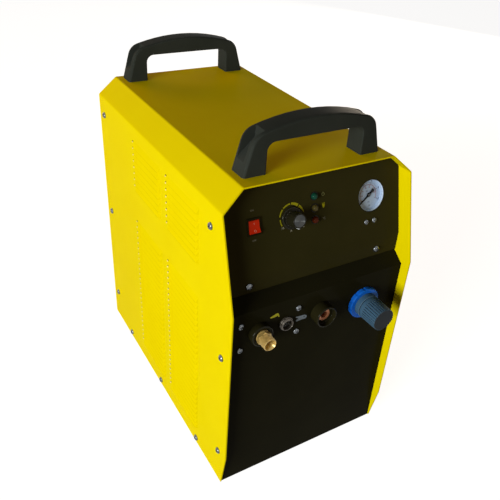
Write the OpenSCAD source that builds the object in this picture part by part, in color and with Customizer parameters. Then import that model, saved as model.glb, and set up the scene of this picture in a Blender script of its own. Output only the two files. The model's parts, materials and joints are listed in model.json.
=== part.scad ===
// Inverter plasma cutter with a built-in air compressor.
// X runs across the front, Y runs from the front to the back, Z is up. The origin is on the floor,
// in the middle of the whole machine. The modules measure Y from the cover's nose.

/* [Cover] */
// Width of the cover
body_w = 250; // [244:1:280]
// Depth of the cover, nose to rear edge
body_d = 412; // [405:1:460]
// Height of the cover
body_h = 416; // [412:1:450]
// Thickness of all sheet metal
sheet_t = 1.5; // [1:0.1:2]
// Outside radius of the cover's bends
bend_r = 4; // [3:0.5:6]
// Width of the sloped shoulders
shoulder_w = 26; // [20:1:30]
// Height of the sloped shoulders
shoulder_h = 22; // [18:1:26]
// Play between the cover and what it slides over
fit = 0.2; // [0.1:0.05:0.3]

/* [Front edge] */
// How far the nose is below the cover's top
nose_drop = 132; // [128:1:140]
// How far the top front edge stands behind the nose
top_lean = 36; // [30:1:40]
// Height of the kink near the bottom
kink_h = 56; // [40:1:70]
// How far the kink stands behind the nose
kink_lean = 2; // [0:0.5:4]
// How far the bottom edge stands behind the nose
toe_lean = 12; // [6:1:14]

/* [Front panels] */
// Depth of the control panel behind the cover's front edge
upper_recess = 20.8; // [18:0.2:24]
// Depth of the connector panel behind the nose
lower_recess = 13; // [12:0.5:15]
// Height above the nose where the control panel folds upright
fold_up = 27.5; // [25:0.5:30]
// Height of the control panel's lower edge above the nose
edge_up = 3.2; // [3:0.5:8]
// How far the connector panel's bevel starts below the nose
bevel_drop = 10; // [7:0.5:14]
// Depth of the side flanges on the panels
flange_d = 16; // [14:1:20]
// Distance of the two fold screws from the cover's sides
fold_screw_in = 35; // [28:1:42]

/* [Louvres] */
// Height of one louvre
louvre_pitch = 9; // [8:0.5:10]
// Length of a louvre
louvre_l = 86; // [70:1:92]
// How far a louvre stands out
louvre_out = 2.6; // [2:0.1:3]
// Number of louvres in an upper block
louvre_n_up = 8; // [4:1:8]
// Front end of the front column of louvres
louvre_y1 = 82; // [78:1:90]
// Front end of the rear column of louvres
louvre_y2 = 190; // [184:1:200]
// How far the upper blocks' top edge is below the cover's top
louvre_drop = 40; // [36:1:44]
// Plain strip between the upper and the lower blocks
louvre_gap = 48; // [44:1:60]
// Lower edge of the lower blocks
louvre_low_h = 31; // [28:1:40]

/* [Handles] */
// Half of the handle's length over the feet
handle_hw = 90; // [84:1:94]
// Height of the handle above the cover
handle_h = 55.6; // [52:0.2:62]
// Height of the finger gap
grip_gap = 34.8; // [32:0.2:38]
// Width of one handle foot
leg_w = 28; // [24:1:32]
// Depth of the handle, front to back
handle_d = 27; // [24:1:30]
// Distance of the front handle's middle from the nose
handle_y1 = 66.5; // [64:0.5:80]
// Distance of the rear handle's middle from the cover's rear edge
handle_back = 18; // [16:0.5:40]
// Depth of the pockets in the handle's ends
inset_d = 13; // [8:0.5:13]

/* [Control panel] */
// How far the control row is below the cover's top
row_drop = 50; // [46:1:54]
// Distance of the air rocker from the cover's left side
rocker_in = 44.6; // [40:0.1:54]
// Sideways place of the current knob
knob_x = -32; // [-38:0.5:-28]
// Sideways place of the lamps
led_x = -1.3; // [-4:0.1:6]
// Distance between lamps
led_pitch = 13.7; // [12:0.1:15]
// Distance of the gauge from the cover's right side
gauge_in = 44.2; // [38:0.1:54]
// Radius of the gauge opening
gauge_r = 20; // [18:0.5:21]
// Distance between the two screws under the gauge
gauge_screw_gap = 12; // [10:0.5:16]
// Width of the rocker button
rocker_w = 13; // [11:0.2:14]
// Swing of the rocker button
rocker_a = 22; // [16:1:24]
// Radius of the knob's skirt
knob_r = 13; // [11:0.5:14]
// Height of the knob
knob_h = 16.4; // [14:0.2:20]
// Radius of a lamp
led_r = 4; // [3:0.1:4.4]

/* [Connector panel] */
// How far the connectors are below the nose
sock_drop = 43.3; // [40:0.1:56]
// Distance of the torch fitting from the cover's left side
torch_in = 42.7; // [40:0.1:46]
// Distance between the torch fitting and the trigger socket
trigger_step = 35.8; // [33:0.1:38]
// Distance between the torch fitting and the earth socket
earth_step = 85.3; // [82:0.1:90]
// Radius of the torch bush
bush_r = 14; // [12:0.5:16]
// Length of the torch bush in front of the panel
bush_l = 9.5; // [8:0.5:12]
// Radius of the torch thread
torch_r = 7.8; // [7:0.1:8.2]
// Length of the torch thread in front of its hexagon
torch_l = 11.5; // [9:0.5:14]
// Radius of the earth socket's collar
earth_r = 14.1; // [12:0.1:15]
// Length of the earth socket's collar
earth_l = 14.5; // [12:0.5:18]
// Radius of the bore that takes the earth plug
earth_bore = 4.6; // [4:0.1:5]
// Sideways distance between the terminal plate's screws
plate_sx = 76.6; // [74:0.2:80]
// Vertical distance between the terminal plate's screws
plate_sz = 34.6; // [32:0.2:38]
// Radius of the fastening screws' heads
pan_r = 3.9; // [3:0.1:4.2]

/* [Regulator] */
// Distance of the regulator from the cover's right side
reg_in = 56.7; // [50:0.1:62]
// How far the regulator is below the row of connectors
reg_drop = 7.5; // [0:0.1:10]
// Radius of the blue panel nut
nut_r = 21.5; // [19:0.1:23]
// Thickness of the panel nut
nut_t = 5.8; // [5:0.1:8]
// Radius of the bonnet thread
bonnet_r = 15.8; // [14:0.1:16.5]
// Radius of the regulator knob
reg_knob_r = 15.5; // [14:0.1:17]
// Length of the regulator knob
reg_knob_l = 28; // [24:1:36]
// Number of ribs on the regulator knob
reg_ribs = 30; // [20:1:36]
// How far the regulator knob pulls out
reg_pull = 4; // [2:0.5:5]

/* [Chassis] */
// Height of the rubber feet
foot_h = 10; // [6:1:16]
// Radius of the rubber feet
foot_r = 14; // [10:1:18]
// Height of the tray's flanges
tray_h = 24; // [20:1:30]
// How far the shelf is below the nose
deck_drop = 94; // [88:1:98]
// Depth of the rear panel inside the cover
rear_recess = 8; // [6:1:12]
// Height of the lower row of side screws
screw_h1 = 53; // [48:1:60]
// How far the middle row of side screws is below the nose
screw_drop2 = 72; // [66:1:78]
// How far the upper row of side screws is below the cover's top
screw_drop3 = 47; // [42:1:52]

/* [Rear panel] */
// Size of the square fan
fan_s = 120; // [110:1:120]
// Thickness of the fan
fan_t = 25; // [20:1:32]
// Distance of the fan's middle from the cover's right side, seen from the front
fan_in = 93; // [85:1:101]
// How far the fan's middle is below the cover's top
fan_drop = 120; // [110:1:130]
// Number of fan blades
fan_blades = 7; // [5:1:9]
// Distance of the breaker, gland and fittings from the cover's left side
side_in = 47; // [41:1:53]
// Radius of the gland's cable bore
gland_bore = 6.5; // [5:0.1:8]
// Radius of the earth stud
stud_r = 4; // [3:0.5:5]

/* [Hidden] */
$fn = 32;
yellow = "#e8d400";
black = "#1c1c18";
silver = "#c8ccd0";
brass = "#b8994f";

nose_h = body_h - nose_drop;
lean = atan(top_lean / nose_drop);
fold_top = nose_h + fold_up;
fold_low = nose_h + edge_up;
bevel_h = nose_h - bevel_drop;
fold_screw_x = body_w / 2 - fold_screw_in;
louvre_up_h = body_h - louvre_drop - louvre_n_up * louvre_pitch;
louvre_n_low = floor((louvre_up_h - louvre_gap - louvre_low_h) / louvre_pitch);
row_s = nose_drop - row_drop;
rocker_x = rocker_in - body_w / 2;
gauge_x = body_w / 2 - gauge_in;
gauge_s = row_s + 2.2;
sock_h = nose_h - sock_drop;
torch_x = torch_in - body_w / 2;
trigger_x = torch_x + trigger_step;
earth_x = torch_x + earth_step;
reg_x = body_w / 2 - reg_in;
reg_h = sock_h - reg_drop;
deck_h = nose_h - deck_drop;
screw_h2 = nose_h - screw_drop2;
screw_h3 = body_h - screw_drop3;
fan_x = body_w / 2 - fan_in;
fan_h = body_h - fan_drop;
side_x = side_in - body_w / 2;
pipe_x = reg_x - 38.3;
half_in = body_w / 2 - sheet_t - fit;
upper_y = upper_recess;
fold_y = upper_recess + (fold_top - nose_h) * tan(lean);
groove_y = fold_y + sheet_t;
groove_h = fold_low - 0.6;
rear_y = body_d - rear_recess;
rear_in = rear_y - sheet_t;
tray_top = foot_h + sheet_t;
deck_z = foot_h + deck_h;
deck_top = deck_z + sheet_t;
handle_y2 = body_d - handle_back;
bolt_x = handle_hw - leg_w / 2;
top_z = foot_h + body_h;
reg_gap = 0.6;
bonnet_l = nut_t + 7.2;
front_y = lower_recess - bonnet_l - reg_gap - reg_knob_l;
mid_y = (front_y + body_d) / 2;

// ---------- sheet and outline helpers ----------
function unit(v) = v / norm(v);
function right_of(a, b) = let (d = unit(b - a)) [d[1], -d[0]];

// Outline moved sideways by t, with mitred corners and square ends
function path_off(p, t) = [for (i = [0:len(p) - 1])
  i == 0 ? p[0] + t * right_of(p[0], p[1])
  : i == len(p) - 1 ? p[i] + t * right_of(p[i - 1], p[i])
  : let (a = right_of(p[i - 1], p[i]), b = right_of(p[i], p[i + 1])) p[i] + (a + b) * t / (1 + a * b)];

// Bent sheet of thickness t whose outer face follows p
function strip(p, t) = let (q = path_off(p, t)) concat(p, [for (i = [len(q) - 1:-1:0]) q[i]]);

// Corners of the cover's cross-section, moved inwards by d
function sect(d) = let (
    a = atan(shoulder_h / shoulder_w),
    x = body_w / 2 - d,
    z = body_h - d,
    dz = d * tan((90 - a) / 2),
    dx = d * tan(a / 2))
  [[x, body_h - shoulder_h - dz], [body_w / 2 - shoulder_w - dx, z],
   [-body_w / 2 + shoulder_w + dx, z], [-x, body_h - shoulder_h - dz]];

// Rounded cross-section, open-ended below at height low
module section(d, low) {
  v = sect(d);
  r = max(bend_r - d, 0.8);
  p = concat([[v[3][0], low], [v[0][0], low]], v);
  n = len(p);
  arcs = [for (i = [2:n - 1])
    let (u1 = unit(p[i - 1] - p[i]), u2 = unit(p[(i + 1) % n] - p[i]), h = acos(u1 * u2) / 2)
    [p[i] + u1 * r / tan(h), p[i] + u2 * r / tan(h), p[i] + unit(u1 + u2) * r / sin(h)]];
  polygon(concat([p[0], p[1]], [for (a = arcs) each [a[0], a[1]]]));
  for (a = arcs)
    translate(a[2])
      circle(r = r, $fn = 24);
}

// Side outline of the cover, in (Y, Z)
function side_pts() = [[toe_lean, 0], [kink_lean, kink_h], [0, nose_h], [top_lean, body_h],
  [top_lean + 10 * tan(lean), body_h + 10], [body_d, body_h + 10], [body_d, 0]];

module extrude_x(w) {
  rotate([90, 0, 90])
    linear_extrude(w, center = true)
      children();
}

module extrude_y(d) {
  translate([0, d, 0])
    rotate([90, 0, 0])
      linear_extrude(d)
        children();
}

module on_upper(x, s) {
  translate([0, upper_y, foot_h + nose_h])
    rotate([90 - lean, 0, 0])
      translate([x, s, 0])
        children();
}

module on_lower(x, h) {
  translate([x, lower_recess, foot_h + h])
    rotate([90, 0, 0])
      children();
}

module on_rear(x, h) {
  translate([-x, rear_y, foot_h + h])
    rotate([90, 0, 180])
      children();
}

module hex(af, h) {
  cylinder(r = af / 2 / cos(30), h = h, $fn = 6);
}

// A tube of radius r along straight runs between points, with round elbows
module run(p, r) {
  for (i = [0:len(p) - 2]) {
    d = p[i + 1] - p[i];
    translate(p[i])
      rotate([0, acos(d[2] / norm(d)), atan2(d[1], d[0])])
        cylinder(r = r, h = norm(d), $fn = 16);
    if (i > 0)
      translate(p[i])
        sphere(r = r * 1.3, $fn = 16);
  }
}

module both_sides() {
  children();
  mirror([1, 0, 0])
    children();
}

// ---------- louvres ----------
louvre_rise = louvre_pitch * 0.9;

// Outer outline of a block of hoods, in (outwards, up)
function hood_pts(n) = concat([[-0.5, 0]],
  [for (i = [0:n - 1]) each [[0, i * louvre_pitch], [louvre_out, i * louvre_pitch], [0, i * louvre_pitch + louvre_rise]]],
  [[-0.5, (n - 1) * louvre_pitch + louvre_rise]]);

// Comb that opens a downward mouth under each hood
function mouth_pts(n) = let (
    w = 1.1,
    m = louvre_out - w,
    hi = louvre_rise * 0.7,
    o = m - hi * louvre_out / louvre_rise,
    b = -sheet_t - 1)
  concat([[b - 2, 0.3]],
    [for (i = [0:n - 1]) let (z = i * louvre_pitch)
      each [[b, z + 0.3], [0, z + 0.3], [0, z - 0.3], [m, z - 0.3], [m, z], [o, z + hi], [b, z + hi]]],
    [[b - 2, (n - 1) * louvre_pitch + hi]]);

// Comb that opens a short slot behind the rear end of each hood
function slot_pts(n) = let (b = -sheet_t - 1) concat([[b - 2, 0]],
  [for (i = [0:n - 1]) let (z = i * louvre_pitch)
    each [[b, z + 6.2], [0.6, z + 6.2], [0.6, z + 8], [b, z + 8]]],
  [[b - 2, n * louvre_pitch]]);

module louvre_slots() {
  for (y = [louvre_y1, louvre_y2], p = [[louvre_up_h, louvre_n_up], [louvre_low_h, louvre_n_low]])
    translate([-body_w / 2, y + louvre_l + 1.2, foot_h + p[0]])
      extrude_y(2)
        mirror([1, 0])
          polygon(slot_pts(p[1]));
}

// Solid that gives every hood ramped ends
module louvre_ramps() {
  t = louvre_out + 0.4;
  for (y = [louvre_y1, louvre_y2])
    translate([-body_w / 2, y, foot_h])
      linear_extrude(body_h)
        polygon([[0.6, 0], [0, 0], [-t, t * 1.2], [-t, louvre_l - t * 1.2], [0, louvre_l], [0.6, louvre_l]]);
}

module louvre_block(pts, y, h, trim) {
  translate([-body_w / 2, y + trim, foot_h + h])
    extrude_y(louvre_l - 2 * trim)
      mirror([1, 0])
        polygon(pts);
}

module louvre_blocks(up, low, trim) {
  for (y = [louvre_y1, louvre_y2]) {
    louvre_block(up, y, louvre_up_h, trim);
    louvre_block(low, y, louvre_low_h, trim);
  }
}

// ---------- cover and its screws ----------
// Places of the side screws, as (Y, height above the cover's lower edge)
function side_screws() = [
  [body_d - 20, screw_h1], [body_d - 20, screw_h2], [body_d - 20, screw_h3],
  [lower_recess + 8, screw_h1], [lower_recess + 8, screw_h2],
  [upper_recess + (screw_h3 - nose_h) * tan(lean) + 10, screw_h3],
  [85, 9], [209, 9], [333, 9]];

module screw_bores(r) {
  both_sides()
    for (p = side_screws())
      translate([body_w / 2 - 12, p[0], foot_h + p[1]])
        rotate([0, 90, 0])
          cylinder(r = r, h = 20, $fn = 16);
}

module bolt_bores(r) {
  for (x = [-bolt_x, bolt_x], y = [handle_y1, handle_y2])
    translate([x, y, top_z - 10])
      cylinder(r = r, h = 20, $fn = 16);
}

module cover() {
  color(yellow)
    difference() {
      union() {
        intersection() {
          translate([0, 0, foot_h])
            extrude_y(body_d)
              difference() {
                section(0, 0);
                section(sheet_t, -5);
              }
          translate([0, 0, foot_h])
            extrude_x(body_w + 2)
              polygon(side_pts());
        }
        both_sides()
          intersection() {
            louvre_blocks(hood_pts(louvre_n_up), hood_pts(louvre_n_low), 0);
            louvre_ramps();
          }
      }
      both_sides() {
        louvre_blocks(mouth_pts(louvre_n_up), mouth_pts(louvre_n_low), 4);
        louvre_slots();
      }
      screw_bores(2.3);
      bolt_bores(3.3);
    }
}

// Domed screw, head on Z = 0
module dome_screw(r, l) {
  cylinder(r = r, h = r * 0.3, $fn = 16);
  translate([0, 0, r * 0.3])
    cylinder(r1 = r, r2 = r * 0.5, h = r * 0.4, $fn = 16);
  translate([0, 0, -l])
    cylinder(r = 2, h = l, $fn = 16);
}

module cover_screws() {
  color(silver)
    both_sides()
      for (p = side_screws())
        translate([body_w / 2, p[0], foot_h + p[1]])
          rotate([0, 90, 0])
            dome_screw(4.5, 8);
}

// ---------- front panels ----------
// Thin ring just inside the cover, from front to back
module flange_ring() {
  translate([0, 0, foot_h])
    extrude_y(body_d)
      difference() {
        section(sheet_t + fit, 0);
        section(2 * sheet_t + fit, -5);
        square([body_w - 2 * shoulder_w, 2 * body_h + 10], center = true);
      }
}

module inside_prism() {
  translate([0, 0, foot_h])
    extrude_y(body_d)
      section(sheet_t + fit, 0);
}

module front_upper_panel() {
  face = [[fold_y, fold_low], [fold_y, fold_top],
    [upper_recess + (nose_drop + 4) * tan(lean), body_h + 4]];
  color(black)
    difference() {
      intersection() {
        inside_prism();
        translate([0, 0, foot_h])
          union() {
            extrude_x(body_w)
              polygon(strip(face, sheet_t));
            intersection() {
              translate([0, 0, -foot_h])
                flange_ring();
              extrude_x(body_w)
                polygon([face[1], face[2], face[2] + [flange_d, 0], face[1] + [flange_d, 0]]);
            }
          }
      }
      on_upper(rocker_x, row_s)
        cube([rocker_w + 1.8, 17.8, 10], center = true);
      on_upper(knob_x, row_s - 0.8)
        cylinder(r = 3.6, h = 10, center = true);
      for (i = [-1:1])
        on_upper(led_x, row_s + 4.3 + i * led_pitch)
          cylinder(r = led_r + 0.8, h = 10, center = true, $fn = 24);
      on_upper(gauge_x, gauge_s)
        cylinder(r = gauge_r, h = 10, center = true, $fn = 48);
      gauge_screw_places()
        cylinder(r = 1.7, h = 10, center = true, $fn = 16);
      fold_screw_places()
        cylinder(r = 2.2, h = 10, center = true, $fn = 16);
      screw_bores(2.1);
    }
}

module gauge_screw_places() {
  for (i = [-1, 1])
    on_upper(gauge_x - 2.5 + i * gauge_screw_gap / 2, gauge_s - gauge_r - 10.9)
      children();
}

module fold_screw_places() {
  for (x = [-fold_screw_x, fold_screw_x])
    translate([x, fold_y, foot_h + (fold_low + fold_top) / 2 - 2.9])
      rotate([90, 0, 0])
        children();
}

module front_lower_panel() {
  face = [[lower_recess, 0], [lower_recess, bevel_h], [groove_y, groove_h], [groove_y, fold_top - 2]];
  color(black)
    difference() {
      intersection() {
        inside_prism();
        translate([0, 0, foot_h])
          union() {
            extrude_x(body_w)
              polygon(strip(face, sheet_t));
            intersection() {
              translate([0, 0, -foot_h])
                flange_ring();
              extrude_x(body_w)
                translate([lower_recess, tray_h + 1])
                  square([flange_d, bevel_h - tray_h - 1]);
            }
          }
      }
      on_lower(torch_x, sock_h)
        cylinder(r = 11.2, h = 10, center = true);
      on_lower(trigger_x, sock_h)
        cylinder(r = 7.9, h = 10, center = true);
      on_lower(earth_x, sock_h)
        cylinder(r = 11.2, h = 10, center = true);
      on_lower(reg_x, reg_h)
        cylinder(r = bonnet_r + 0.2, h = 10, center = true, $fn = 48);
      terminal_screw_places()
        cylinder(r = 2.2, h = 10, center = true, $fn = 16);
      fold_screw_places()
        cylinder(r = 2.1, h = 20, center = true, $fn = 16);
      screw_bores(2.1);
    }
}

module panel_screws() {
  color(silver)
    fold_screw_places()
      dome_screw(pan_r + 0.6, 8);
}

// ---------- chassis ----------
module base_tray() {
  y0 = lower_recess + sheet_t;
  color("#26261f")
    difference() {
      translate([-half_in, y0, foot_h])
        cube([2 * half_in, rear_in - y0, tray_h]);
      translate([-half_in + sheet_t, y0 + sheet_t, foot_h + sheet_t])
        cube([2 * (half_in - sheet_t), rear_in - y0 - 2 * sheet_t, tray_h]);
      for (i = [0:6])
        translate([0, 150 + i * 16, foot_h])
          cube([120, 5, 10], center = true);
      for (p = foot_places())
        translate(p)
          cylinder(r = 3.2, h = 40, center = true, $fn = 16);
      screw_bores(2.1);
    }
}

function foot_places() = [for (x = [-1, 1], y = [45, body_d - 45]) [x * (body_w / 2 - 32), y, 0]];

module feet() {
  color("#141414")
    for (p = foot_places())
      translate(p) {
        difference() {
          cylinder(r1 = foot_r - 2, r2 = foot_r, h = foot_h);
          translate([0, 0, -1])
            cylinder(r = 6, h = 5, $fn = 24);
        }
        cylinder(r = 3.1, h = tray_top + 4, $fn = 16);
        translate([0, 0, tray_top])
          cylinder(r = 5.5, h = 3, $fn = 24);
      }
}

module rear_panel() {
  color(black)
    difference() {
      union() {
        intersection() {
          inside_prism();
          translate([-body_w / 2, rear_in, 0])
            cube([body_w, sheet_t, top_z]);
        }
        intersection() {
          flange_ring();
          translate([-body_w / 2, rear_y - flange_d, foot_h + tray_h + 1])
            cube([body_w, flange_d, body_h]);
        }
      }
      on_rear(-fan_x, fan_h)
        cylinder(r = fan_s / 2 - 4, h = 10, center = true, $fn = 48);
      for (x = [-1, 1], z = [-1, 1])
        on_rear(-fan_x + x * (fan_s / 2 - 7.5), fan_h + z * (fan_s / 2 - 7.5))
          cylinder(r = 2.2, h = 10, center = true, $fn = 16);
      on_rear(-side_x, fan_h + 44)
        cube([36.2, 46, 10], center = true);
      on_rear(-side_x, fan_h - 46)
        cylinder(r = 11.2, h = 10, center = true);
      on_rear(-side_x, 110)
        cylinder(r = 6.7, h = 10, center = true);
      on_rear(-side_x - 38, 110)
        cylinder(r = stud_r + 0.1, h = 10, center = true, $fn = 24);
      for (i = [0:8])
        on_rear(-fan_x, 52 + i * 14)
          cube([104, 5, 10], center = true);
      screw_bores(2.1);
    }
}

module deck() {
  y0 = lower_recess + flange_d + 3;
  y1 = rear_y - flange_d - 3;
  color("#8d9296")
    difference() {
      translate([-half_in, y0, deck_z - 14])
        cube([2 * half_in, y1 - y0, 14 + sheet_t]);
      translate([-half_in + sheet_t, y0 - 1, deck_z - 15])
        cube([2 * (half_in - sheet_t), y1 - y0 + 2, 15]);
      translate([pipe_x, 90, deck_z])
        cylinder(r = 6, h = 20, center = true, $fn = 24);
    }
}

// ---------- handles ----------
// Stations round the handle from foot to foot, as [outer, inner, pocket depth, front rim], points in (X, Z)
corner_r = 19;
crown_r = 243;
leg_a = 15.6;
fillet_r = 10;
leg_in = handle_hw - leg_w;
leg_v = [-sin(leg_a), cos(leg_a)];
corner_o = [handle_hw - corner_r / cos(leg_a), crown_r - handle_h];
corner_t = -corner_o * leg_v;
corner_c = [corner_o[0], 0]
  + leg_v * (corner_t + sqrt(corner_t * corner_t - corner_o * corner_o + pow(crown_r - corner_r, 2)));
crown_a = atan2(corner_c[1] + corner_o[1], corner_c[0]);
function corner(i, k) = let (a = leg_a + i * (crown_a - leg_a) / 6, b = i * 15) [
  corner_c + corner_r * [cos(a), sin(a)],
  [leg_in - fillet_r + fillet_r * cos(b), grip_gap - fillet_r + fillet_r * sin(b)],
  k, 7 - i * 0.4];
function leg(t, k) = [
  [handle_hw, 0] + t * (corner(0, 0)[0] - [handle_hw, 0]),
  [leg_in, (grip_gap - fillet_r) * t],
  k, 8.4];
function crown(t) = let (a = 90 - (90 - crown_a) * t) [
  [crown_r * cos(a), handle_h - crown_r + crown_r * sin(a)],
  [(leg_in - fillet_r) * t, grip_gap],
  0, 4.6];
function half_stations() = concat(
  [leg(0, 0), leg(0.44, 0), leg(0.46, 0.6)],
  [for (i = [0:6]) corner(i, inset_d * [0.84, 0.94, 1, 0.97, 0.78, 0.56, 0.31][i])],
  [for (t = [0.947, 0.8, 0.6, 0.4, 0.2, 0]) crown(t)]);
function stations() = let (h = half_stations(), n = len(h)) concat(
  [for (s = h) [[-s[0][0], s[0][1]], [-s[1][0], s[1][1]], s[2], s[3]]],
  [for (i = [n - 2:-1:0]) h[i]]);

// Quarter of a rounded edge of radius r, as distances from the two faces
function edge(r) = [for (a = [0, 30, 60, 90]) [r * (1 - sin(a)), r * (1 - cos(a))]];

// Ring of points at a station: half depth d, outer and inner edge radii r and q
function ring(s, d, r, q) = let (u = unit(s[1] - s[0]), l = norm(s[1] - s[0]), w = d - 4.6, f = d - s[3]) [
  for (k = concat(
      [for (e = edge(r)) [e[0], -d + e[1]]],
      [[0, -f - 0.5], [s[2], -f], [s[2], w], [0, w + 0.5]],
      [for (i = [3:-1:0]) [edge(r)[i][0], d - edge(r)[i][1]]],
      [for (e = edge(q)) [l - e[0], d - e[1]]],
      [for (i = [3:-1:0]) [l - edge(q)[i][0], -d + edge(q)[i][1]]]))
    [s[0][0] + u[0] * k[0], k[1], s[0][1] + u[1] * k[0]]];

module skin(rings) {
  n = len(rings);
  m = len(rings[0]);
  polyhedron(
    points = [for (r = rings) each r],
    faces = concat(
      [[for (j = [0:m - 1]) j]],
      [for (i = [0:n - 2], j = [0:m - 1]) each [
        [i * m + j, (i + 1) * m + j, (i + 1) * m + (j + 1) % m],
        [i * m + j, (i + 1) * m + (j + 1) % m, i * m + (j + 1) % m]]],
      [[for (j = [m - 1:-1:0]) (n - 1) * m + j]]));
}

module handle() {
  difference() {
    skin([for (s = stations()) ring(s, handle_d / 2, 3.6, 2)]);
    for (x = [-bolt_x, bolt_x])
      translate([x, 0, -1])
        cylinder(r = 3.1, h = 17, $fn = 16);
  }
}

module front_handle() {
  color("#2a2c2a")
    translate([0, handle_y1, top_z])
      handle();
}

module rear_handle() {
  color("#2a2c2a")
    translate([0, handle_y2, top_z])
      handle();
}

module handle_bolts() {
  color(silver)
    for (x = [-bolt_x, bolt_x], y = [handle_y1, handle_y2])
      translate([x, y, top_z - sheet_t]) {
        cylinder(r = 3, h = sheet_t + 14, $fn = 16);
        translate([0, 0, -4])
          hex(10, 4);
      }
}

// ---------- air rocker ----------
rocker_l = 15;
pivot_z = 0.5;

module rocker_frame() {
  color("#151515")
    on_upper(rocker_x, row_s)
      difference() {
        union() {
          translate([-rocker_w / 2 - 1.5, -9.8, 0])
            cube([rocker_w + 3, 19.6, 2]);
          translate([-rocker_w / 2 - 0.8, -8.8, -16])
            cube([rocker_w + 1.6, 17.6, 16]);
          for (y = [-6, 0, 6])
            translate([-2.4, y - 0.4, -23])
              cube([4.8, 0.8, 8]);
        }
        translate([-rocker_w / 2, -rocker_l / 2 - 0.4, -9.5])
          cube([rocker_w, rocker_l + 0.8, 20]);
        translate([0, 0, pivot_z])
          rotate([0, 90, 0])
            cylinder(r = 1.05, h = rocker_w + 1.6, center = true, $fn = 16);
      }
}

module rocker_button() {
  color("#cf2a04")
    on_upper(rocker_x, row_s) {
      translate([0, 0, pivot_z])
        intersection() {
          rotate([0, 90, 0])
            cylinder(r = rocker_l / 2, h = rocker_w - 0.4, center = true, $fn = 48);
          extrude_x(rocker_w)
            polygon([[-20, -4.5], [20, -4.5], [20, 1.7], [0, 1.7], [-20, 1.7 + 20 * tan(rocker_a)]]);
        }
      translate([0, 0, pivot_z])
        rotate([0, 90, 0])
          cylinder(r = 1, h = rocker_w + 1.4, center = true, $fn = 16);
    }
}

// ---------- current knob ----------
module potentiometer() {
  color("#9a9ea0")
    on_upper(knob_x, row_s - 0.8)
      difference() {
        union() {
          translate([0, 0, -sheet_t - 9])
            cylinder(r = 8, h = 9);
          translate([0, 0, -sheet_t])
            cylinder(r = 3.5, h = sheet_t + 3.4, $fn = 24);
          hex(9.4, 2);
        }
        translate([0, 0, -sheet_t - 8])
          cylinder(r = 2.05, h = 20, $fn = 24);
      }
}

module pot_shaft() {
  color("#c9c9c4")
    on_upper(knob_x, row_s - 0.8)
      translate([0, 0, -sheet_t - 7.5])
        cylinder(r = 2, h = sheet_t + 7.5 + knob_h - 2.4, $fn = 24);
}

module current_knob() {
  color("#1b1b1d")
    on_upper(knob_x, row_s - 0.8)
      difference() {
        union() {
          translate([0, 0, 0.5])
            cylinder(r = knob_r, h = 1.3, $fn = 48);
          translate([0, 0, 1.8])
            cylinder(r1 = knob_r, r2 = knob_r - 1, h = 0.8, $fn = 48);
          cylinder(r1 = 9.6, r2 = 8.2, h = knob_h, $fn = 36);
        }
        cylinder(r = 6, h = 8, center = true, $fn = 24);
        translate([0, 0, -1])
          cylinder(r = 2.05, h = knob_h - 2.4 + 1, $fn = 24);
        for (i = [0:17])
          rotate([0, 0, i * 20])
            translate([9.4, 0, 3.4])
              cylinder(r = 0.9, h = knob_h, $fn = 8);
        translate([0, 0, knob_h - 1.4])
          cylinder(r = 7.15, h = 2, $fn = 36);
      }
}

module knob_cap() {
  color("#b9bcc4")
    on_upper(knob_x, row_s - 0.8)
      translate([0, 0, knob_h - 1.4])
        cylinder(r = 7.1, h = 1.4, $fn = 36);
}

// ---------- lamps ----------
module led(c, i) {
  color(c)
    on_upper(led_x, row_s + 4.3 + i * led_pitch) {
      translate([0, 0, -6])
        cylinder(r = led_r - 0.05, h = 8, $fn = 24);
      translate([0, 0, -7.5])
        cylinder(r = led_r + 0.5, h = 1.5, $fn = 24);
      intersection() {
        translate([0, 0, 1.2])
          sphere(r = led_r - 0.05, $fn = 24);
        translate([0, 0, 5])
          cube([20, 20, 10], center = true);
      }
      for (y = [-1.3, 1.3])
        translate([-0.3, y - 0.3, -sheet_t - 9])
          cube([0.6, 0.6, 6]);
    }
}

module led_green() {
  led("#1a5a45", 1);
}

module led_amber() {
  led("#6a6530", 0);
}

module led_red() {
  led("#4a2010", -1);
}

module led_holders() {
  color("#151515")
    for (i = [-1:1])
      on_upper(led_x, row_s + 4.3 + i * led_pitch)
        difference() {
          union() {
            cylinder(r = led_r + 1.1, h = 0.7, $fn = 24);
            translate([0, 0, -6])
              cylinder(r = led_r + 0.7, h = 6, $fn = 24);
          }
          translate([0, 0, -7])
            cylinder(r = led_r, h = 10, $fn = 24);
        }
}

board_s0 = row_s - 18;
board_w = 84;
board_l = 54;

module board_corners() {
  for (x = [-46, 30], y = [board_s0 + 4, board_s0 + board_l - 4])
    on_upper(x, y)
      children();
}

module control_board() {
  color("#1f5f3a")
    difference() {
      on_upper(-50, board_s0)
        translate([0, 0, -sheet_t - 10.6])
          cube([board_w, board_l, 1.6]);
      board_corners()
        cylinder(r = 1.6, h = 60, center = true, $fn = 16);
    }
}

module board_spacers() {
  color(silver)
    board_corners() {
      translate([0, 0, -sheet_t - 9])
        hex(5, 9);
      translate([0, 0, -sheet_t - 14])
        cylinder(r = 1.5, h = 6, $fn = 16);
      translate([0, 0, -sheet_t - 12.6])
        hex(5, 2);
    }
}

// ---------- pressure gauge ----------
dial_z = -7;

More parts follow.
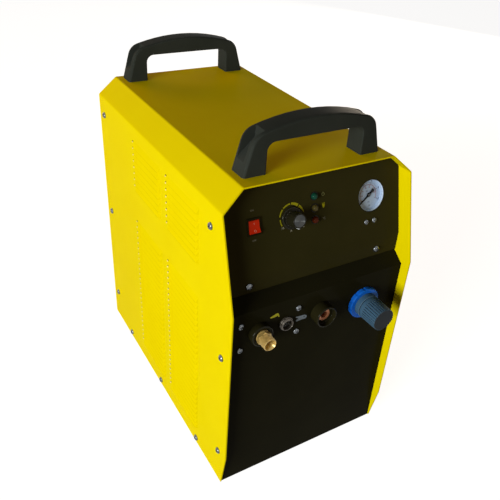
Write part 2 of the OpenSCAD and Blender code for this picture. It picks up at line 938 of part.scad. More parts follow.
module gauge_case() {
  color("#1a1a1a")
    on_upper(gauge_x, gauge_s)
      difference() {
        union() {
          translate([0, 0, -27])
            cylinder(r = gauge_r - 0.3, h = 26.7, $fn = 48);
          translate([0, 0, -sheet_t - 2])
            cylinder(r = gauge_r + 2.5, h = 2, $fn = 48);
          translate([0, 0, -40])
            cylinder(r = 5, h = 14, $fn = 24);
          translate([0, 0, -34])
            hex(14, 6);
        }
        translate([0, 0, dial_z])
          cylinder(r = gauge_r - 1.1, h = 20, $fn = 48);
        translate([0, 0, dial_z - 12])
          cylinder(r = gauge_r - 4, h = 20, $fn = 48);
        translate([0, 0, -41])
          cylinder(r = 2, h = 10, $fn = 16);
      }
}

module gauge_dial() {
  color("#e4ecf2")
    on_upper(gauge_x, gauge_s)
      difference() {
        union() {
          translate([0, 0, dial_z])
            cylinder(r = gauge_r - 1.2, h = 0.8, $fn = 48);
          translate([0, 0, dial_z - 12])
            cylinder(r = 4, h = 12, $fn = 24);
        }
        translate([0, 0, dial_z - 6])
          cylinder(r = 0.85, h = 20, $fn = 16);
      }
}

module gauge_needle() {
  color("#101010")
    on_upper(gauge_x, gauge_s)
      translate([0, 0, dial_z])
        rotate([0, 0, 216]) {
          translate([0, 0, 1.6])
            linear_extrude(0.5)
              union() {
                polygon([[0, -1.2], [gauge_r * 0.86, -0.25], [gauge_r * 0.86, 0.25], [0, 1.2]]);
                polygon([[0, -1], [-6.5, -1.6], [-6.5, 1.6], [0, 1]]);
                circle(r = 2.4, $fn = 24);
              }
          translate([0, 0, -5])
            cylinder(r = 0.8, h = 7.4, $fn = 16);
        }
}

module gauge_lens() {
  color("#dfe8ee", 0.3)
    on_upper(gauge_x, gauge_s)
      translate([0, 0, dial_z + 4])
        difference() {
          cylinder(r = gauge_r - 1.15, h = 1.2, $fn = 48);
          translate([0, 0, 3])
            cube([1, 1, 1], center = true);
        }
}

module gauge_bracket() {
  w = gauge_screw_gap + 12;
  low = -gauge_r - 2.5;
  color(silver)
    on_upper(gauge_x, gauge_s)
      difference() {
        union() {
          translate([-w / 2 - 2.5, low - 15.2, -sheet_t - 1.5])
            cube([w, 15.2, 1.5]);
          translate([-w / 2 - 2.5, low - 1.5, -28.5])
            cube([w, 1.5, 28.5 - sheet_t]);
          translate([-w / 2 - 2.5, low - 1.5, -28.5])
            cube([w, 34, 1.5]);
        }
        translate([0, 0, -34])
          cylinder(r = 8.3, h = 12, $fn = 24);
        for (i = [-1, 1])
          translate([-2.5 + i * gauge_screw_gap / 2, low - 8.4, -10])
            cylinder(r = 1.7, h = 20, $fn = 16);
      }
}

module gauge_screws() {
  color(silver)
    gauge_screw_places() {
      cylinder(r = pan_r * 0.85, h = 1.2, $fn = 16);
      translate([0, 0, 1.2])
        cylinder(r1 = pan_r * 0.85, r2 = pan_r * 0.5, h = 1.2, $fn = 16);
      translate([0, 0, -9])
        cylinder(r = 1.5, h = 9, $fn = 16);
      translate([0, 0, -sheet_t - 4])
        hex(5.5, 2.5);
    }
}

// ---------- connectors ----------
plate_t = 5;
plate_x = (torch_x + trigger_x) / 2 - 4;
plate_back = -sheet_t - plate_t;

module terminal_screw_places() {
  for (x = [-1, 1], z = [-1, 1])
    on_lower(plate_x + x * plate_sx / 2, sock_h - 1 + z * plate_sz / 2)
      children();
}

module terminal_plate() {
  color("#7a4a28")
    difference() {
      on_lower(plate_x, sock_h - 1)
        translate([-plate_sx / 2 - 8, -plate_sz / 2 - 8, plate_back])
          cube([plate_sx + 16, plate_sz + 16, plate_t]);
      on_lower(torch_x, sock_h)
        cylinder(r = 11.2, h = 40, center = true);
      on_lower(trigger_x, sock_h)
        cylinder(r = 7.9, h = 40, center = true);
      terminal_screw_places()
        cylinder(r = 2.05, h = 40, center = true, $fn = 16);
    }
}

module terminal_screws() {
  color(silver)
    terminal_screw_places() {
      cylinder(r = pan_r, h = 1.4, $fn = 16);
      translate([0, 0, 1.4])
        cylinder(r1 = pan_r, r2 = pan_r * 0.6, h = 1.4, $fn = 16);
      translate([0, 0, plate_back - 6])
        cylinder(r = 2, h = 6 - plate_back, $fn = 16);
      translate([0, 0, plate_back - 3.2])
        hex(7, 3.2);
    }
}

module torch_insulator() {
  color("#121212")
    on_lower(torch_x, sock_h)
      difference() {
        union() {
          cylinder(r = bush_r, h = bush_l - 1, $fn = 48);
          translate([0, 0, bush_l - 1])
            cylinder(r1 = bush_r, r2 = bush_r - 1, h = 1, $fn = 48);
          translate([0, 0, plate_back - 5])
            cylinder(r = 11, h = 5 - plate_back);
          translate([0, 0, plate_back - 5])
            hex(28, 5);
        }
        translate([0, 0, -40])
          cylinder(r = torch_r + 0.05, h = 80);
        translate([0, 0, bush_l - 3.5])
          cylinder(r = torch_r + 2.8, h = 10);
      }
}

module torch_terminal() {
  color(brass)
    on_lower(torch_x, sock_h)
      difference() {
        union() {
          translate([0, 0, plate_back - 12])
            cylinder(r = torch_r, h = 12 - plate_back + bush_l);
          translate([0, 0, bush_l])
            hex(2 * torch_r + 0.6, 4.5);
          translate([0, 0, bush_l + 4.5])
            cylinder(r = torch_r, h = torch_l);
          translate([0, 0, plate_back - 11])
            hex(2 * torch_r + 6, 6);
          translate([0, 0, bush_l - 3.5])
            cylinder(r = torch_r + 0.9, h = 3.5);
        }
        translate([0, 0, bush_l + 4.5 + torch_l - 7])
          cylinder(r1 = 2.5, r2 = torch_r - 1.4, h = 7.01);
        translate([0, 0, plate_back - 13])
          cylinder(r = 2.5, h = 60, $fn = 24);
      }
}

module trigger_socket() {
  color("#8d8f90")
    on_lower(trigger_x, sock_h)
      difference() {
        union() {
          cylinder(r = 9, h = 2.8);
          translate([0, 0, plate_back - 8])
            cylinder(r = 7.8, h = 8 - plate_back + 5.4);
          translate([0, 0, plate_back - 3])
            hex(19, 3);
        }
        translate([0, 0, plate_back - 9])
          cylinder(r = 6.6, h = 40);
      }
}

module trigger_insert() {
  color("#161616")
    on_lower(trigger_x, sock_h) {
      difference() {
        translate([0, 0, plate_back - 10])
          cylinder(r = 6.55, h = 12 - plate_back, $fn = 24);
        translate([0, -6.6, 0])
          cube([2, 2.4, 10], center = true);
      }
      for (x = [-2.6, 2.6])
        translate([x, 0, plate_back - 14])
          cylinder(r = 1, h = 18 - plate_back, $fn = 16);
    }
}

module earth_socket() {
  color("#111111")
    on_lower(earth_x, sock_h)
      difference() {
        union() {
          cylinder(r = earth_r, h = earth_l - 1, $fn = 48);
          translate([0, 0, earth_l - 1])
            cylinder(r1 = earth_r, r2 = earth_r - 0.8, h = 1, $fn = 48);
          translate([0, 0, -sheet_t - 10])
            cylinder(r = 11, h = sheet_t + 10);
          translate([0, 0, -sheet_t - 5])
            hex(30, 5);
        }
        translate([0, 0, earth_l - 6.5])
          cylinder(r = earth_r - 1.7, h = 10, $fn = 48);
        translate([0, 0, -20])
          cylinder(r = earth_bore + 3.55, h = 50);
      }
}

module earth_contact() {
  color("#8a4a28")
    on_lower(earth_x, sock_h)
      difference() {
        union() {
          translate([0, 0, -sheet_t - 14])
            cylinder(r = earth_bore + 3.5, h = sheet_t + 14 + earth_l - 6.5);
          translate([0, 0, -sheet_t - 26])
            cylinder(r = 4, h = 14, $fn = 24);
          translate([0, 0, -sheet_t - 14])
            hex(24, 4);
          translate([0, 0, -sheet_t - 22])
            hex(13, 5);
        }
        translate([0, 0, -sheet_t - 12])
          cylinder(r = earth_bore, h = 60);
      }
}

// ---------- pressure regulator ----------
port_z = -40;

module regulator_body() {
  color("#24303a")
    on_lower(reg_x, reg_h)
      difference() {
        union() {
          translate([0, 0, -16])
            cylinder(r = bonnet_r, h = 16 + bonnet_l, $fn = 48);
          translate([-20, -20, -60])
            cube([40, 40, 44]);
          translate([0, 0, port_z])
            rotate([0, 90, 0])
              cylinder(r = 9, h = 46, center = true, $fn = 24);
        }
        translate([0, 0, -14])
          cylinder(r = 4.05, h = 60, $fn = 24);
        translate([0, 0, port_z])
          rotate([0, 90, 0])
            cylinder(r = 4.2, h = 60, center = true, $fn = 24);
      }
}

module regulator_nut() {
  color("#1260c4")
    on_lower(reg_x, reg_h)
      difference() {
        union() {
          cylinder(r = nut_r, h = nut_t - 1, $fn = 48);
          translate([0, 0, nut_t - 1])
            cylinder(r1 = nut_r, r2 = nut_r - 0.8, h = 1, $fn = 48);
        }
        translate([0, 0, -1])
          cylinder(r = bonnet_r + 0.1, h = 20, $fn = 48);
        for (i = [0:11])
          rotate([0, 0, i * 30 + 8])
            translate([nut_r + 0.4, 0, nut_t / 2])
              cube([2.2, 3.2, nut_t + 2], center = true);
      }
}

module regulator_spindle() {
  color("#b8b8b4")
    on_lower(reg_x, reg_h) {
      translate([0, 0, -13])
        cylinder(r = 4, h = 13 + bonnet_l + reg_knob_l - 6, $fn = 24);
    }
}

module regulator_knob() {
  z0 = bonnet_l + reg_gap;
  color("#45627a")
    on_lower(reg_x, reg_h)
      difference() {
        union() {
          translate([0, 0, z0])
            cylinder(r1 = reg_knob_r - 1, r2 = reg_knob_r, h = 1, $fn = 60);
          translate([0, 0, z0 + 1])
            cylinder(r1 = reg_knob_r, r2 = reg_knob_r - 0.6, h = reg_knob_l - 1, $fn = 60);
        }
        translate([0, 0, -1])
          cylinder(r = 4.05, h = bonnet_l + reg_knob_l - 2, $fn = 24);
        for (i = [0:reg_ribs - 1])
          rotate([0, 0, i * 360 / reg_ribs])
            translate([reg_knob_r - 1.4, -0.5, z0 + 5])
              cube([3, 1, reg_knob_l]);
      }
}

// ---------- rear of the machine ----------
module fan_frame() {
  z = -sheet_t - fan_t;
  color("#1d1d1d")
    on_rear(-fan_x, fan_h)
      difference() {
        union() {
          difference() {
            translate([-fan_s / 2, -fan_s / 2, z])
              cube([fan_s, fan_s, fan_t]);
            translate([0, 0, z - 1])
              cylinder(r = fan_s / 2 - 3, h = fan_t + 2, $fn = 48);
          }
          for (a = [0, 90, 180, 270])
            rotate([0, 0, a + 30])
              translate([0, -2.5, z])
                cube([fan_s / 2 - 2, 5, 3]);
          translate([0, 0, z])
            cylinder(r = 18, h = 4);
          translate([0, 0, z])
            cylinder(r = 5, h = 10, $fn = 24);
        }
        translate([0, 0, z + 1])
          cylinder(r = 1.55, h = 20, $fn = 16);
        for (x = [-1, 1], y = [-1, 1])
          translate([x * (fan_s / 2 - 7.5), y * (fan_s / 2 - 7.5), z - 1])
            cylinder(r = 2.2, h = fan_t + 2, $fn = 16);
      }
}

module fan_rotor() {
  z = -sheet_t - fan_t;
  color("#262626")
    on_rear(-fan_x, fan_h)
      difference() {
        union() {
          translate([0, 0, z + 4.6])
            cylinder(r = 20, h = fan_t - 6);
          for (i = [0:fan_blades - 1])
            rotate([0, 0, i * 360 / fan_blades])
              translate([18, 0, z + fan_t / 2 + 1])
                rotate([38, 0, 0])
                  translate([0, -11, -0.8])
                    cube([fan_s / 2 - 3 - 2 - 18, 22, 1.6]);
        }
        difference() {
          translate([0, 0, z - 1])
            cylinder(r = 18.5, h = fan_t - 3.4);
          translate([0, 0, z + 1.5])
            cylinder(r = 1.5, h = fan_t, $fn = 16);
        }
      }
}

module fan_guard() {
  color(silver)
    on_rear(-fan_x, fan_h) {
      for (i = [1:4])
        rotate_extrude($fn = 40)
          translate([i * (fan_s / 2 - 5) / 4, 2.6])
            circle(r = 0.9, $fn = 6);
      for (a = [45, 135])
        rotate([0, 0, a])
          translate([0, 0, 1.2])
            cube([fan_s * 1.2, 2.4, 1.4], center = true);
      for (x = [-1, 1], y = [-1, 1])
        translate([x * (fan_s / 2 - 7.5), y * (fan_s / 2 - 7.5), 0]) {
          cylinder(r = 4.5, h = 2.8, $fn = 16);
          translate([0, 0, -sheet_t - 8])
            cylinder(r = 2, h = 10, $fn = 16);
        }
    }
}

module breaker_body() {
  color("#d8d8d2")
    on_rear(-side_x, fan_h + 44)
      difference() {
        union() {
          translate([-18, -40, -46])
            cube([36, 80, 46 - sheet_t]);
          translate([-18, -22.5, -10])
            cube([36, 45, 13]);
        }
        translate([-13, -9.5, -7])
          cube([26, 19, 20]);
        translate([0, 0, -1])
          rotate([0, 90, 0])
            cylinder(r = 2.05, h = 32, center = true, $fn = 16);
      }
}

module breaker_lever() {
  color("#202020")
    on_rear(-side_x, fan_h + 44)
      translate([0, 0, -1])
        rotate([-28, 0, 0]) {
          rotate([0, 90, 0])
            cylinder(r = 4.6, h = 25, center = true);
          rotate([0, 90, 0])
            cylinder(r = 2, h = 31, center = true, $fn = 16);
          translate([-12, -2, 0])
            cube([24, 4, 9]);
        }
}

module cable_gland() {
  color("#1a1a1a")
    on_rear(-side_x, fan_h - 46)
      difference() {
        union() {
          hex(26, 4);
          translate([0, 0, 4])
            cylinder(r1 = 12, r2 = 9, h = 3.4);
          translate([0, 0, -sheet_t - 14])
            cylinder(r = 11, h = sheet_t + 14);
          translate([0, 0, -sheet_t - 5])
            hex(27, 5);
        }
        translate([0, 0, -20])
          cylinder(r = gland_bore, h = 40);
      }
}

module air_inlet() {
  color(brass)
    on_rear(-side_x, 110)
      difference() {
        union() {
          hex(17, 2.5);
          translate([0, 0, 2.5])
            cylinder(r = 5, h = 5, $fn = 24);
          translate([0, 0, -sheet_t - 14])
            cylinder(r = 6.6, h = sheet_t + 14, $fn = 24);
          translate([0, 0, -sheet_t - 4])
            hex(17, 4);
        }
        translate([0, 0, -30])
          cylinder(r = 3, h = 60, $fn = 24);
      }
}

module earth_stud() {
  color(silver)
    on_rear(-side_x - 38, 110) {
      translate([0, 0, -sheet_t - 10])
        cylinder(r = stud_r, h = sheet_t + 10 + 7.6, $fn = 24);
      cylinder(r = stud_r + 4, h = 1, $fn = 24);
      translate([0, 0, 1])
        hex(2 * stud_r + 5, 3.6);
      translate([0, 0, -sheet_t - 5])
        hex(2 * stud_r + 5, 5);
    }
}

// ---------- inverter ----------
sink_h = 60;
sink_y = 150;
sink_l = rear_in - fan_t - 47.5 - sink_y;
board_z = deck_top + sink_h;

module heat_sinks() {
  color("#b9bdc0")
    for (x = [-55, 55])
      translate([x, sink_y, deck_top])
        extrude_y(sink_l)
          union() {
            translate([-35, sink_h - 8])
              square([70, 8]);
            for (i = [0:7])
              translate([-35 + i * (70 - 2.5) / 7, 0])
                square([2.5, sink_h - 7]);
          }
}

module power_board() {
  color("#245c34")
    translate([-100, sink_y - 8, board_z])
      cube([200, sink_l + 16, 1.6]);
}

core_z = board_z + 1.6;

module transformer_core() {
  color("#3a3a3a")
    translate([-55, sink_y + 50, core_z])
      difference() {
        translate([-32, -14, 0])
          cube([64, 28, 56]);
        for (x = [-14, 14])
          translate([x, 0, 28])
            cube([10, 40, 36], center = true);
      }
}

module transformer_winding() {
  color("#a8642c")
    translate([-55, sink_y + 50, core_z + 10.2])
      difference() {
        translate([-18.8, -24, 0])
          cube([37.6, 48, 35.6]);
        translate([-9.2, -14.2, -1])
          cube([18.4, 28.4, 40]);
      }
}

module capacitors() {
  color("#23324a")
    for (x = [-60, -20, 20, 60])
      translate([x, sink_y + 130, core_z])
        cylinder(r = 15, h = 45, $fn = 24);
}

// ---------- air system ----------
mount_h = 12;
motor_r = 42;
motor_z = tray_top + mount_h + 4 + motor_r + 2;
head_top = deck_z - 20;

module compressor_mounts() {
  color("#171717")
    for (x = [-56, 56], y = [130, 270])
      translate([x, y, tray_top])
        cylinder(r = 10, h = mount_h, $fn = 24);
}

module compressor_motor() {
  color("#9ea2a4")
    translate([0, 0, tray_top + mount_h]) {
      translate([-68, 116, 0])
        cube([136, 168, 4]);
      translate([-30, 150, 3])
        cube([60, 12, 20]);
      translate([-30, 238, 3])
        cube([60, 12, 20]);
      translate([0, 135, motor_r + 6])
        rotate([-90, 0, 0])
          cylinder(r = motor_r, h = 130);
    }
}

module compressor_heads() {
  color("#c0c2c2")
    for (y = [112, 288])
      translate([0, y, 0]) {
        translate([0, 0, motor_z])
          rotate([90, 0, 0])
            cylinder(r = 36, h = 46, center = true);
        translate([0, 0, motor_z])
          cylinder(r = 20, h = head_top - 12 - motor_z);
        for (i = [0:3])
          translate([0, 0, motor_z + 42 + i * 7])
            cylinder(r = 25, h = 2.5);
        translate([-25, -23, head_top - 12])
          cube([50, 46, 12]);
      }
}

module air_valve() {
  color("#a9823c")
    translate([90, 118, deck_top]) {
      translate([-20, -12, 0])
        cube([40, 24, 24]);
      translate([0, 0, 24])
        cylinder(r = 12, h = 32);
    }
}

module air_pipes() {
  rz = foot_h + reg_h;
  ry = lower_recess - port_z;
  tz = foot_h + sock_h;
  vz = deck_top + 12;
  hz = head_top + 6;
  color("#3b6ea8") {
    run([[0, 288, hz - 6], [0, 288, hz], [0, 112, hz], [pipe_x, 90, hz], [pipe_x, 90, rz], [pipe_x, ry, rz], [reg_x - 23, ry, rz]], 4);
    translate([0, 112, head_top])
      cylinder(r = 4, h = 6, $fn = 16);
    run([[reg_x + 23, ry, rz], [reg_x + 34, ry, rz], [reg_x + 34, ry, vz], [reg_x + 34, 106, vz]], 4);
    run([[70, 118, vz], [torch_x, 118, vz], [torch_x, 118, tz], [torch_x, lower_recess - plate_back + 12, tz]], 4);
  }
}

// Moves the origin from the nose to the middle of the machine
module centred() {
  translate([0, -mid_y, 0])
    children();
}

centred() base_tray();
centred() feet();
centred() cover();
centred() front_upper_panel();
centred() front_lower_panel();
centred() rear_panel();
centred() deck();
centred() cover_screws();
centred() panel_screws();
centred() front_handle();
centred() rear_handle();
centred() handle_bolts();
centred() rocker_frame();
centred() rocker_button();
centred() potentiometer();
centred() pot_shaft();
centred() current_knob();
centred() knob_cap();
centred() led_green();
centred() led_amber();
centred() led_red();
centred() led_holders();
centred() control_board();
centred() board_spacers();
centred() gauge_case();
centred() gauge_dial();
centred() gauge_needle();
centred() gauge_lens();
centred() gauge_bracket();
centred() gauge_screws();
centred() torch_terminal();
centred() torch_insulator();
centred() terminal_plate();
centred() terminal_screws();
centred() trigger_socket();
centred() trigger_insert();
centred() earth_socket();
centred() earth_contact();
centred() regulator_body();
centred() regulator_nut();
centred() regulator_spindle();
centred() regulator_knob();
centred() fan_frame();
centred() fan_rotor();
centred() fan_guard();
centred() breaker_body();
centred() breaker_lever();
centred() cable_gland();
centred() air_inlet();
centred() earth_stud();
centred() power_board();
centred() heat_sinks();
centred() transformer_core();
centred() transformer_winding();
centred() capacitors();
centred() compressor_motor();
centred() compressor_heads();
centred() compressor_mounts();
centred() air_valve();
centred() air_pipes();
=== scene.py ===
"""Inverter plasma cutter with a built-in compressor: the looks of its CAD model."""

import bpy
import json
import math
from mathutils import Matrix, Vector


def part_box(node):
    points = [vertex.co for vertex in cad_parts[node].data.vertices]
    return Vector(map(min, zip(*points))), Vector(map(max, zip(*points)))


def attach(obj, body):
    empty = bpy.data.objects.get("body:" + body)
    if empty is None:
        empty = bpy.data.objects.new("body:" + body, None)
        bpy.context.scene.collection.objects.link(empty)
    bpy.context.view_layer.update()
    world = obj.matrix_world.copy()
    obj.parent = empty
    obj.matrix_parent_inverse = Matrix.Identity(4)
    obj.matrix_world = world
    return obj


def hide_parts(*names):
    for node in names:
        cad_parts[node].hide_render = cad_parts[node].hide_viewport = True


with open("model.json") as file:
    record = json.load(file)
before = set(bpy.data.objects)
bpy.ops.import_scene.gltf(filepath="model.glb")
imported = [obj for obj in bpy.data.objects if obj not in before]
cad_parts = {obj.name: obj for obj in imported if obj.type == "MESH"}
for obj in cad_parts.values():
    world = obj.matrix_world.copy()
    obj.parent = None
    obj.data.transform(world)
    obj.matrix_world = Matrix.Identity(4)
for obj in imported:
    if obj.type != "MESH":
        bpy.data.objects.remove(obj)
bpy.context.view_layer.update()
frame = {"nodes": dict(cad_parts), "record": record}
nodes = frame["nodes"]
bpy.ops.object.select_all(action="DESELECT")

MM = 0.001


# ---------- where things are, in millimetres, worked out from the frame ----------
def box_mm(name):
    low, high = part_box(name)
    return Vector(low) / MM, Vector(high) / MM


cover_low, cover_high = box_mm("cover")
FOOT = cover_low.z
NOSE_Y = cover_low.y
NOSE_RISE = 284
NOSE_Z = FOOT + NOSE_RISE
TOP_LEAN = 36
BODY_W = 250
BODY_H = cover_high.z - cover_low.z
LEAN = math.atan(TOP_LEAN / (BODY_H - NOSE_RISE))
PANEL_INSET = 20.8
UPPER_Y = NOSE_Y + PANEL_INSET
LOWER_Y = box_mm("front_lower_panel")[0].y
# The connector row: its height over the cover's lower edge, and where its pieces stand
SOCKET_ROW = 240.7
TORCH_X = -82.3
TRIGGER_X = -46.5
# The louvres: two blocks of rows by two columns on each side, each hood with its slot at the rear end
LOUVRE_PITCH = 9
LOUVRE_BLOCKS = ((304, 8), (31, 25))
LOUVRE_COLUMNS = (82, 190)
LOUVRE_LENGTH = 86
# The gauge's scale turns clockwise from its zero, in degrees
DIAL_ZERO = 216
DIAL_SWEEP = 244
MARK_THICK = 0.12
DIAL_MARK_THICK = 0.08


def upper_place(x, s):
    """A place on the control panel: x across, s up the slope."""
    c, k = math.cos(LEAN), math.sin(LEAN)
    spot = Vector((x, UPPER_Y + s * k, NOSE_Z + s * c))
    turn = Matrix(((1, 0, 0), (0, k, -c), (0, c, k)))
    return Matrix.Translation(spot * MM) @ turn.to_4x4()


def lower_place(x, z):
    """A place on the connector panel: x across, z above the cover's lower edge."""
    turn = Matrix(((1, 0, 0), (0, 0, -1), (0, 1, 0)))
    return Matrix.Translation(Vector((x, LOWER_Y, FOOT + z)) * MM) @ turn.to_4x4()


# ---------- modelling helpers ----------
def active():
    return bpy.context.view_layer.objects.active


def only(piece):
    bpy.ops.object.select_all(action="DESELECT")
    piece.select_set(True)
    bpy.context.view_layer.objects.active = piece


def settle(piece, place=None):
    """Puts a piece at its place and moves that place into its mesh."""
    only(piece)
    if place is not None:
        piece.matrix_world = place @ piece.matrix_world
    bpy.ops.object.transform_apply(location=True, rotation=True, scale=True)
    return piece


def use_modifier(piece, kind, **settings):
    only(piece)
    mod = piece.modifiers.new(kind.title(), kind)
    for key, value in settings.items():
        setattr(mod, key, value)
    bpy.ops.object.modifier_apply(modifier=mod.name)


def mesh_edit(piece, *steps):
    """Runs edit-mode operators on the whole mesh."""
    only(piece)
    bpy.ops.object.mode_set(mode="EDIT")
    bpy.ops.mesh.select_all(action="SELECT")
    for step in steps:
        step()
    bpy.ops.object.mode_set(mode="OBJECT")


def outward(piece):
    mesh_edit(
        piece,
        lambda: bpy.ops.mesh.remove_doubles(threshold=0.000005),
        lambda: bpy.ops.mesh.normals_make_consistent(inside=False),
    )


def smooth(piece, degrees=32):
    only(piece)
    bpy.ops.object.shade_smooth_by_angle(angle=math.radians(degrees))


def box_piece(name, size, at=(0, 0, 0), turn=0.0):
    bpy.ops.mesh.primitive_cube_add(size=1, location=Vector(at) * MM, rotation=(0, 0, turn))
    piece = active()
    piece.name = name
    piece.scale = Vector(size) * MM
    return settle(piece)


def disc(name, radius, depth, at=(0, 0, 0), sides=48):
    """A round blank from at upwards."""
    spot = Vector((at[0], at[1], at[2] + depth / 2)) * MM
    bpy.ops.mesh.primitive_cylinder_add(vertices=sides, radius=radius * MM, depth=depth * MM, location=spot)
    piece = active()
    piece.name = name
    return settle(piece)


def raw_piece(name, points, edges, faces):
    """A piece made of bare points, in millimetres, and what joins them."""
    bpy.ops.mesh.primitive_plane_add(size=MM)
    piece = active()
    piece.name = name
    piece.data.clear_geometry()
    piece.data.from_pydata([(x * MM, y * MM, z * MM) for x, y, z in points], edges, faces)
    return piece


def profile_line(name, profile):
    """A profile of (radius, height) as a line of edges beside the Z axis."""
    return raw_piece(name, [(r, 0, z) for r, z in profile], [(i, i + 1) for i in range(len(profile) - 1)], [])


def turned(name, profile, sides=48):
    """Spins a profile of (radius, height) in millimetres round Z."""
    piece = profile_line(name, profile)
    mesh_edit(
        piece,
        lambda: bpy.ops.mesh.spin(
            steps=sides, angle=2 * math.pi, center=(0, 0, 0), axis=(0, 0, 1), use_auto_merge=True
        ),
    )
    outward(piece)
    return piece


def spun(name, profile, sides=48):
    """A closed outline of (radius, height) spun round Z: a piece with a bore."""
    return turned(name, profile + profile[:1], sides)


def flat_shape(name, outline, thick=MARK_THICK):
    """A thin plate whose outline is a list of (x, y) in millimetres."""
    piece = raw_piece(name, [(x, y, 0) for x, y in outline], [], [list(range(len(outline)))])
    mesh_edit(
        piece,
        lambda: bpy.ops.mesh.extrude_region_move(TRANSFORM_OT_translate={"value": (0, 0, thick * MM)}),
    )
    outward(piece)
    return piece


def join(name, parts):
    bpy.ops.object.select_all(action="DESELECT")
    for part in parts:
        part.select_set(True)
    bpy.context.view_layer.objects.active = parts[0]
    if len(parts) > 1:
        bpy.ops.object.join()
    piece = active()
    piece.name = name
    return piece


def twin(piece, place):
    """A copy with its own mesh, at another place."""
    copy = piece.copy()
    copy.data = piece.data.copy()
    bpy.context.collection.objects.link(copy)
    return settle(copy, place)


def cut(piece, tool):
    use_modifier(piece, "BOOLEAN", object=tool, operation="DIFFERENCE", solver="EXACT")
    bpy.data.objects.remove(tool, do_unlink=True)


def lettering(name, words, height, at, place, thick=MARK_THICK):
    """Plain raised lettering, made a mesh, with its middle at (x, y)."""
    bpy.ops.object.text_add(location=Vector((*at, thick / 2)) * MM)
    text = active()
    text.data.body = words
    text.data.size = height * MM
    text.data.extrude = thick * MM / 2
    text.data.align_x = "CENTER"
    text.data.align_y = "CENTER"
    bpy.ops.object.convert(target="MESH")
    piece = active()
    piece.name = name
    return settle(piece, place)


def ring_arc(name, r_in, r_out, start, end, steps, thick=MARK_THICK):
    """A flat arc band; each radius is a number, or a pair for the two ends."""
    outline = []
    for radius, order in ((r_out, range(steps + 1)), (r_in, range(steps, -1, -1))):
        r0, r1 = radius if isinstance(radius, tuple) else (radius, radius)
        for i in order:
            a = math.radians(start + (end - start) * i / steps)
            r = r0 + (r1 - r0) * i / steps
            outline.append((r * math.cos(a), r * math.sin(a)))
    return flat_shape(name, outline, thick)


# ---------- material helpers ----------
def linear(colour):
    """A #rrggbb colour as linear light."""
    parts = [int(colour[i : i + 2], 16) / 255 for i in (1, 3, 5)]
    return [c / 12.92 if c <= 0.04045 else ((c + 0.055) / 1.055) ** 2.4 for c in parts] + [1]


def add(mat, kind, inputs=None, links=None, **settings):
    """Adds a node with its settings, its socket values and its links."""
    node = mat.node_tree.nodes.new(kind)
    for key, value in settings.items():
        setattr(node, key, value)
    for key, value in (inputs or {}).items():
        node.inputs[key].default_value = value
    for key, socket in (links or {}).items():
        mat.node_tree.links.new(socket, node.inputs[key])
    return node


def new_material(name):
    mat = bpy.data.materials.new(name)
    mat.use_nodes = True
    mat.node_tree.nodes.clear()
    coords = add(mat, "ShaderNodeTexCoord")
    return mat, coords.outputs["Object"]


def finish_material(mat, shader):
    add(mat, "ShaderNodeOutputMaterial", links={"Surface": shader.outputs[0]})
    return mat


def mixed(mat, factor, one, two):
    """Two hex colours mixed by a factor socket."""
    ramp = add(mat, "ShaderNodeValToRGB", links={"Fac": factor})
    ramp.color_ramp.elements[0].position = 0.3
    ramp.color_ramp.elements[1].position = 0.7
    ramp.color_ramp.elements[0].color = linear(one)
    ramp.color_ramp.elements[1].color = linear(two)
    return ramp.outputs["Color"]


def span(mat, factor, low, high):
    limits = {"From Min": 0.25, "From Max": 0.75, "To Min": low, "To Max": high}
    node = add(mat, "ShaderNodeMapRange", limits, {"Value": factor})
    return node.outputs["Result"]


def noise(mat, coords, size_mm, detail=2.0):
    look = {"Scale": 1000 / size_mm, "Detail": detail, "Roughness": 0.5}
    node = add(mat, "ShaderNodeTexNoise", look, {"Vector": coords})
    return node.outputs["Fac"]


def bump(mat, height, depth_mm):
    node = add(mat, "ShaderNodeBump", {"Strength": 0.5, "Distance": depth_mm * MM}, {"Height": height})
    return node.outputs["Normal"]


def coated(name, colour, shade, rough, grain_mm, grain_depth, metallic=0.0, coat=0.0, rough_span=0.06, gloss=0.35):
    """Paint, moulded plastic or cast metal: two close shades in soft blotches over a fine grain."""
    mat, coords = new_material(name)
    blotch = noise(mat, coords, 60, 3.0)
    shader = add(
        mat,
        "ShaderNodeBsdfPrincipled",
        {"Metallic": metallic, "Coat Weight": coat, "Coat Roughness": 0.1, "Specular IOR Level": gloss},
        {
            "Base Color": mixed(mat, blotch, colour, shade),
            "Roughness": span(mat, blotch, rough, rough + rough_span),
            "Normal": bump(mat, noise(mat, coords, grain_mm), grain_depth),
        },
    )
    return finish_material(mat, shader)


def machined(name, colour, shade, rough, groove_mm, axis, metallic=1.0, depth=0.02):
    """Turned or drawn metal: fine lines that run round or along the piece."""
    mat, coords = new_material(name)
    stretch = add(mat, "ShaderNodeMapping", {"Scale": axis}, {"Vector": coords})
    lines = noise(mat, stretch.outputs["Vector"], groove_mm, 3.0)
    shader = add(
        mat,
        "ShaderNodeBsdfPrincipled",
        {"Metallic": metallic},
        {
            "Base Color": mixed(mat, lines, colour, shade),
            "Roughness": span(mat, lines, rough, rough + 0.12),
            "Normal": bump(mat, lines, depth),
        },
    )
    return finish_material(mat, shader)


# ---------- materials ----------
# Epoxy-polyester powder coat, sprayed and baked: glossy, with a faint orange peel
POWDER_YELLOW = coated("yellow_powder_coat", "#F2DF00", "#F0DC00", 0.42, 1.6, 0.04, rough_span=0.03, gloss=0.004)
# The same coat, a little darker, on the rounded lip of each louvre: painted shade that draws a line under every lip
POWDER_LIP_SHADE = coated("yellow_powder_painted_lip_shade", "#DEC800", "#D8C200", 0.5, 1.6, 0.04, rough_span=0.03, gloss=0.004)
# The same coat, a little darker, on the louvres' front ramps, which face the key lamp: painted shade
POWDER_RAMP_SHADE = coated(
    "yellow_powder_painted_ramp_shade", "#EAD500", "#E6D000", 0.46, 1.6, 0.04, rough_span=0.03, gloss=0.004
)
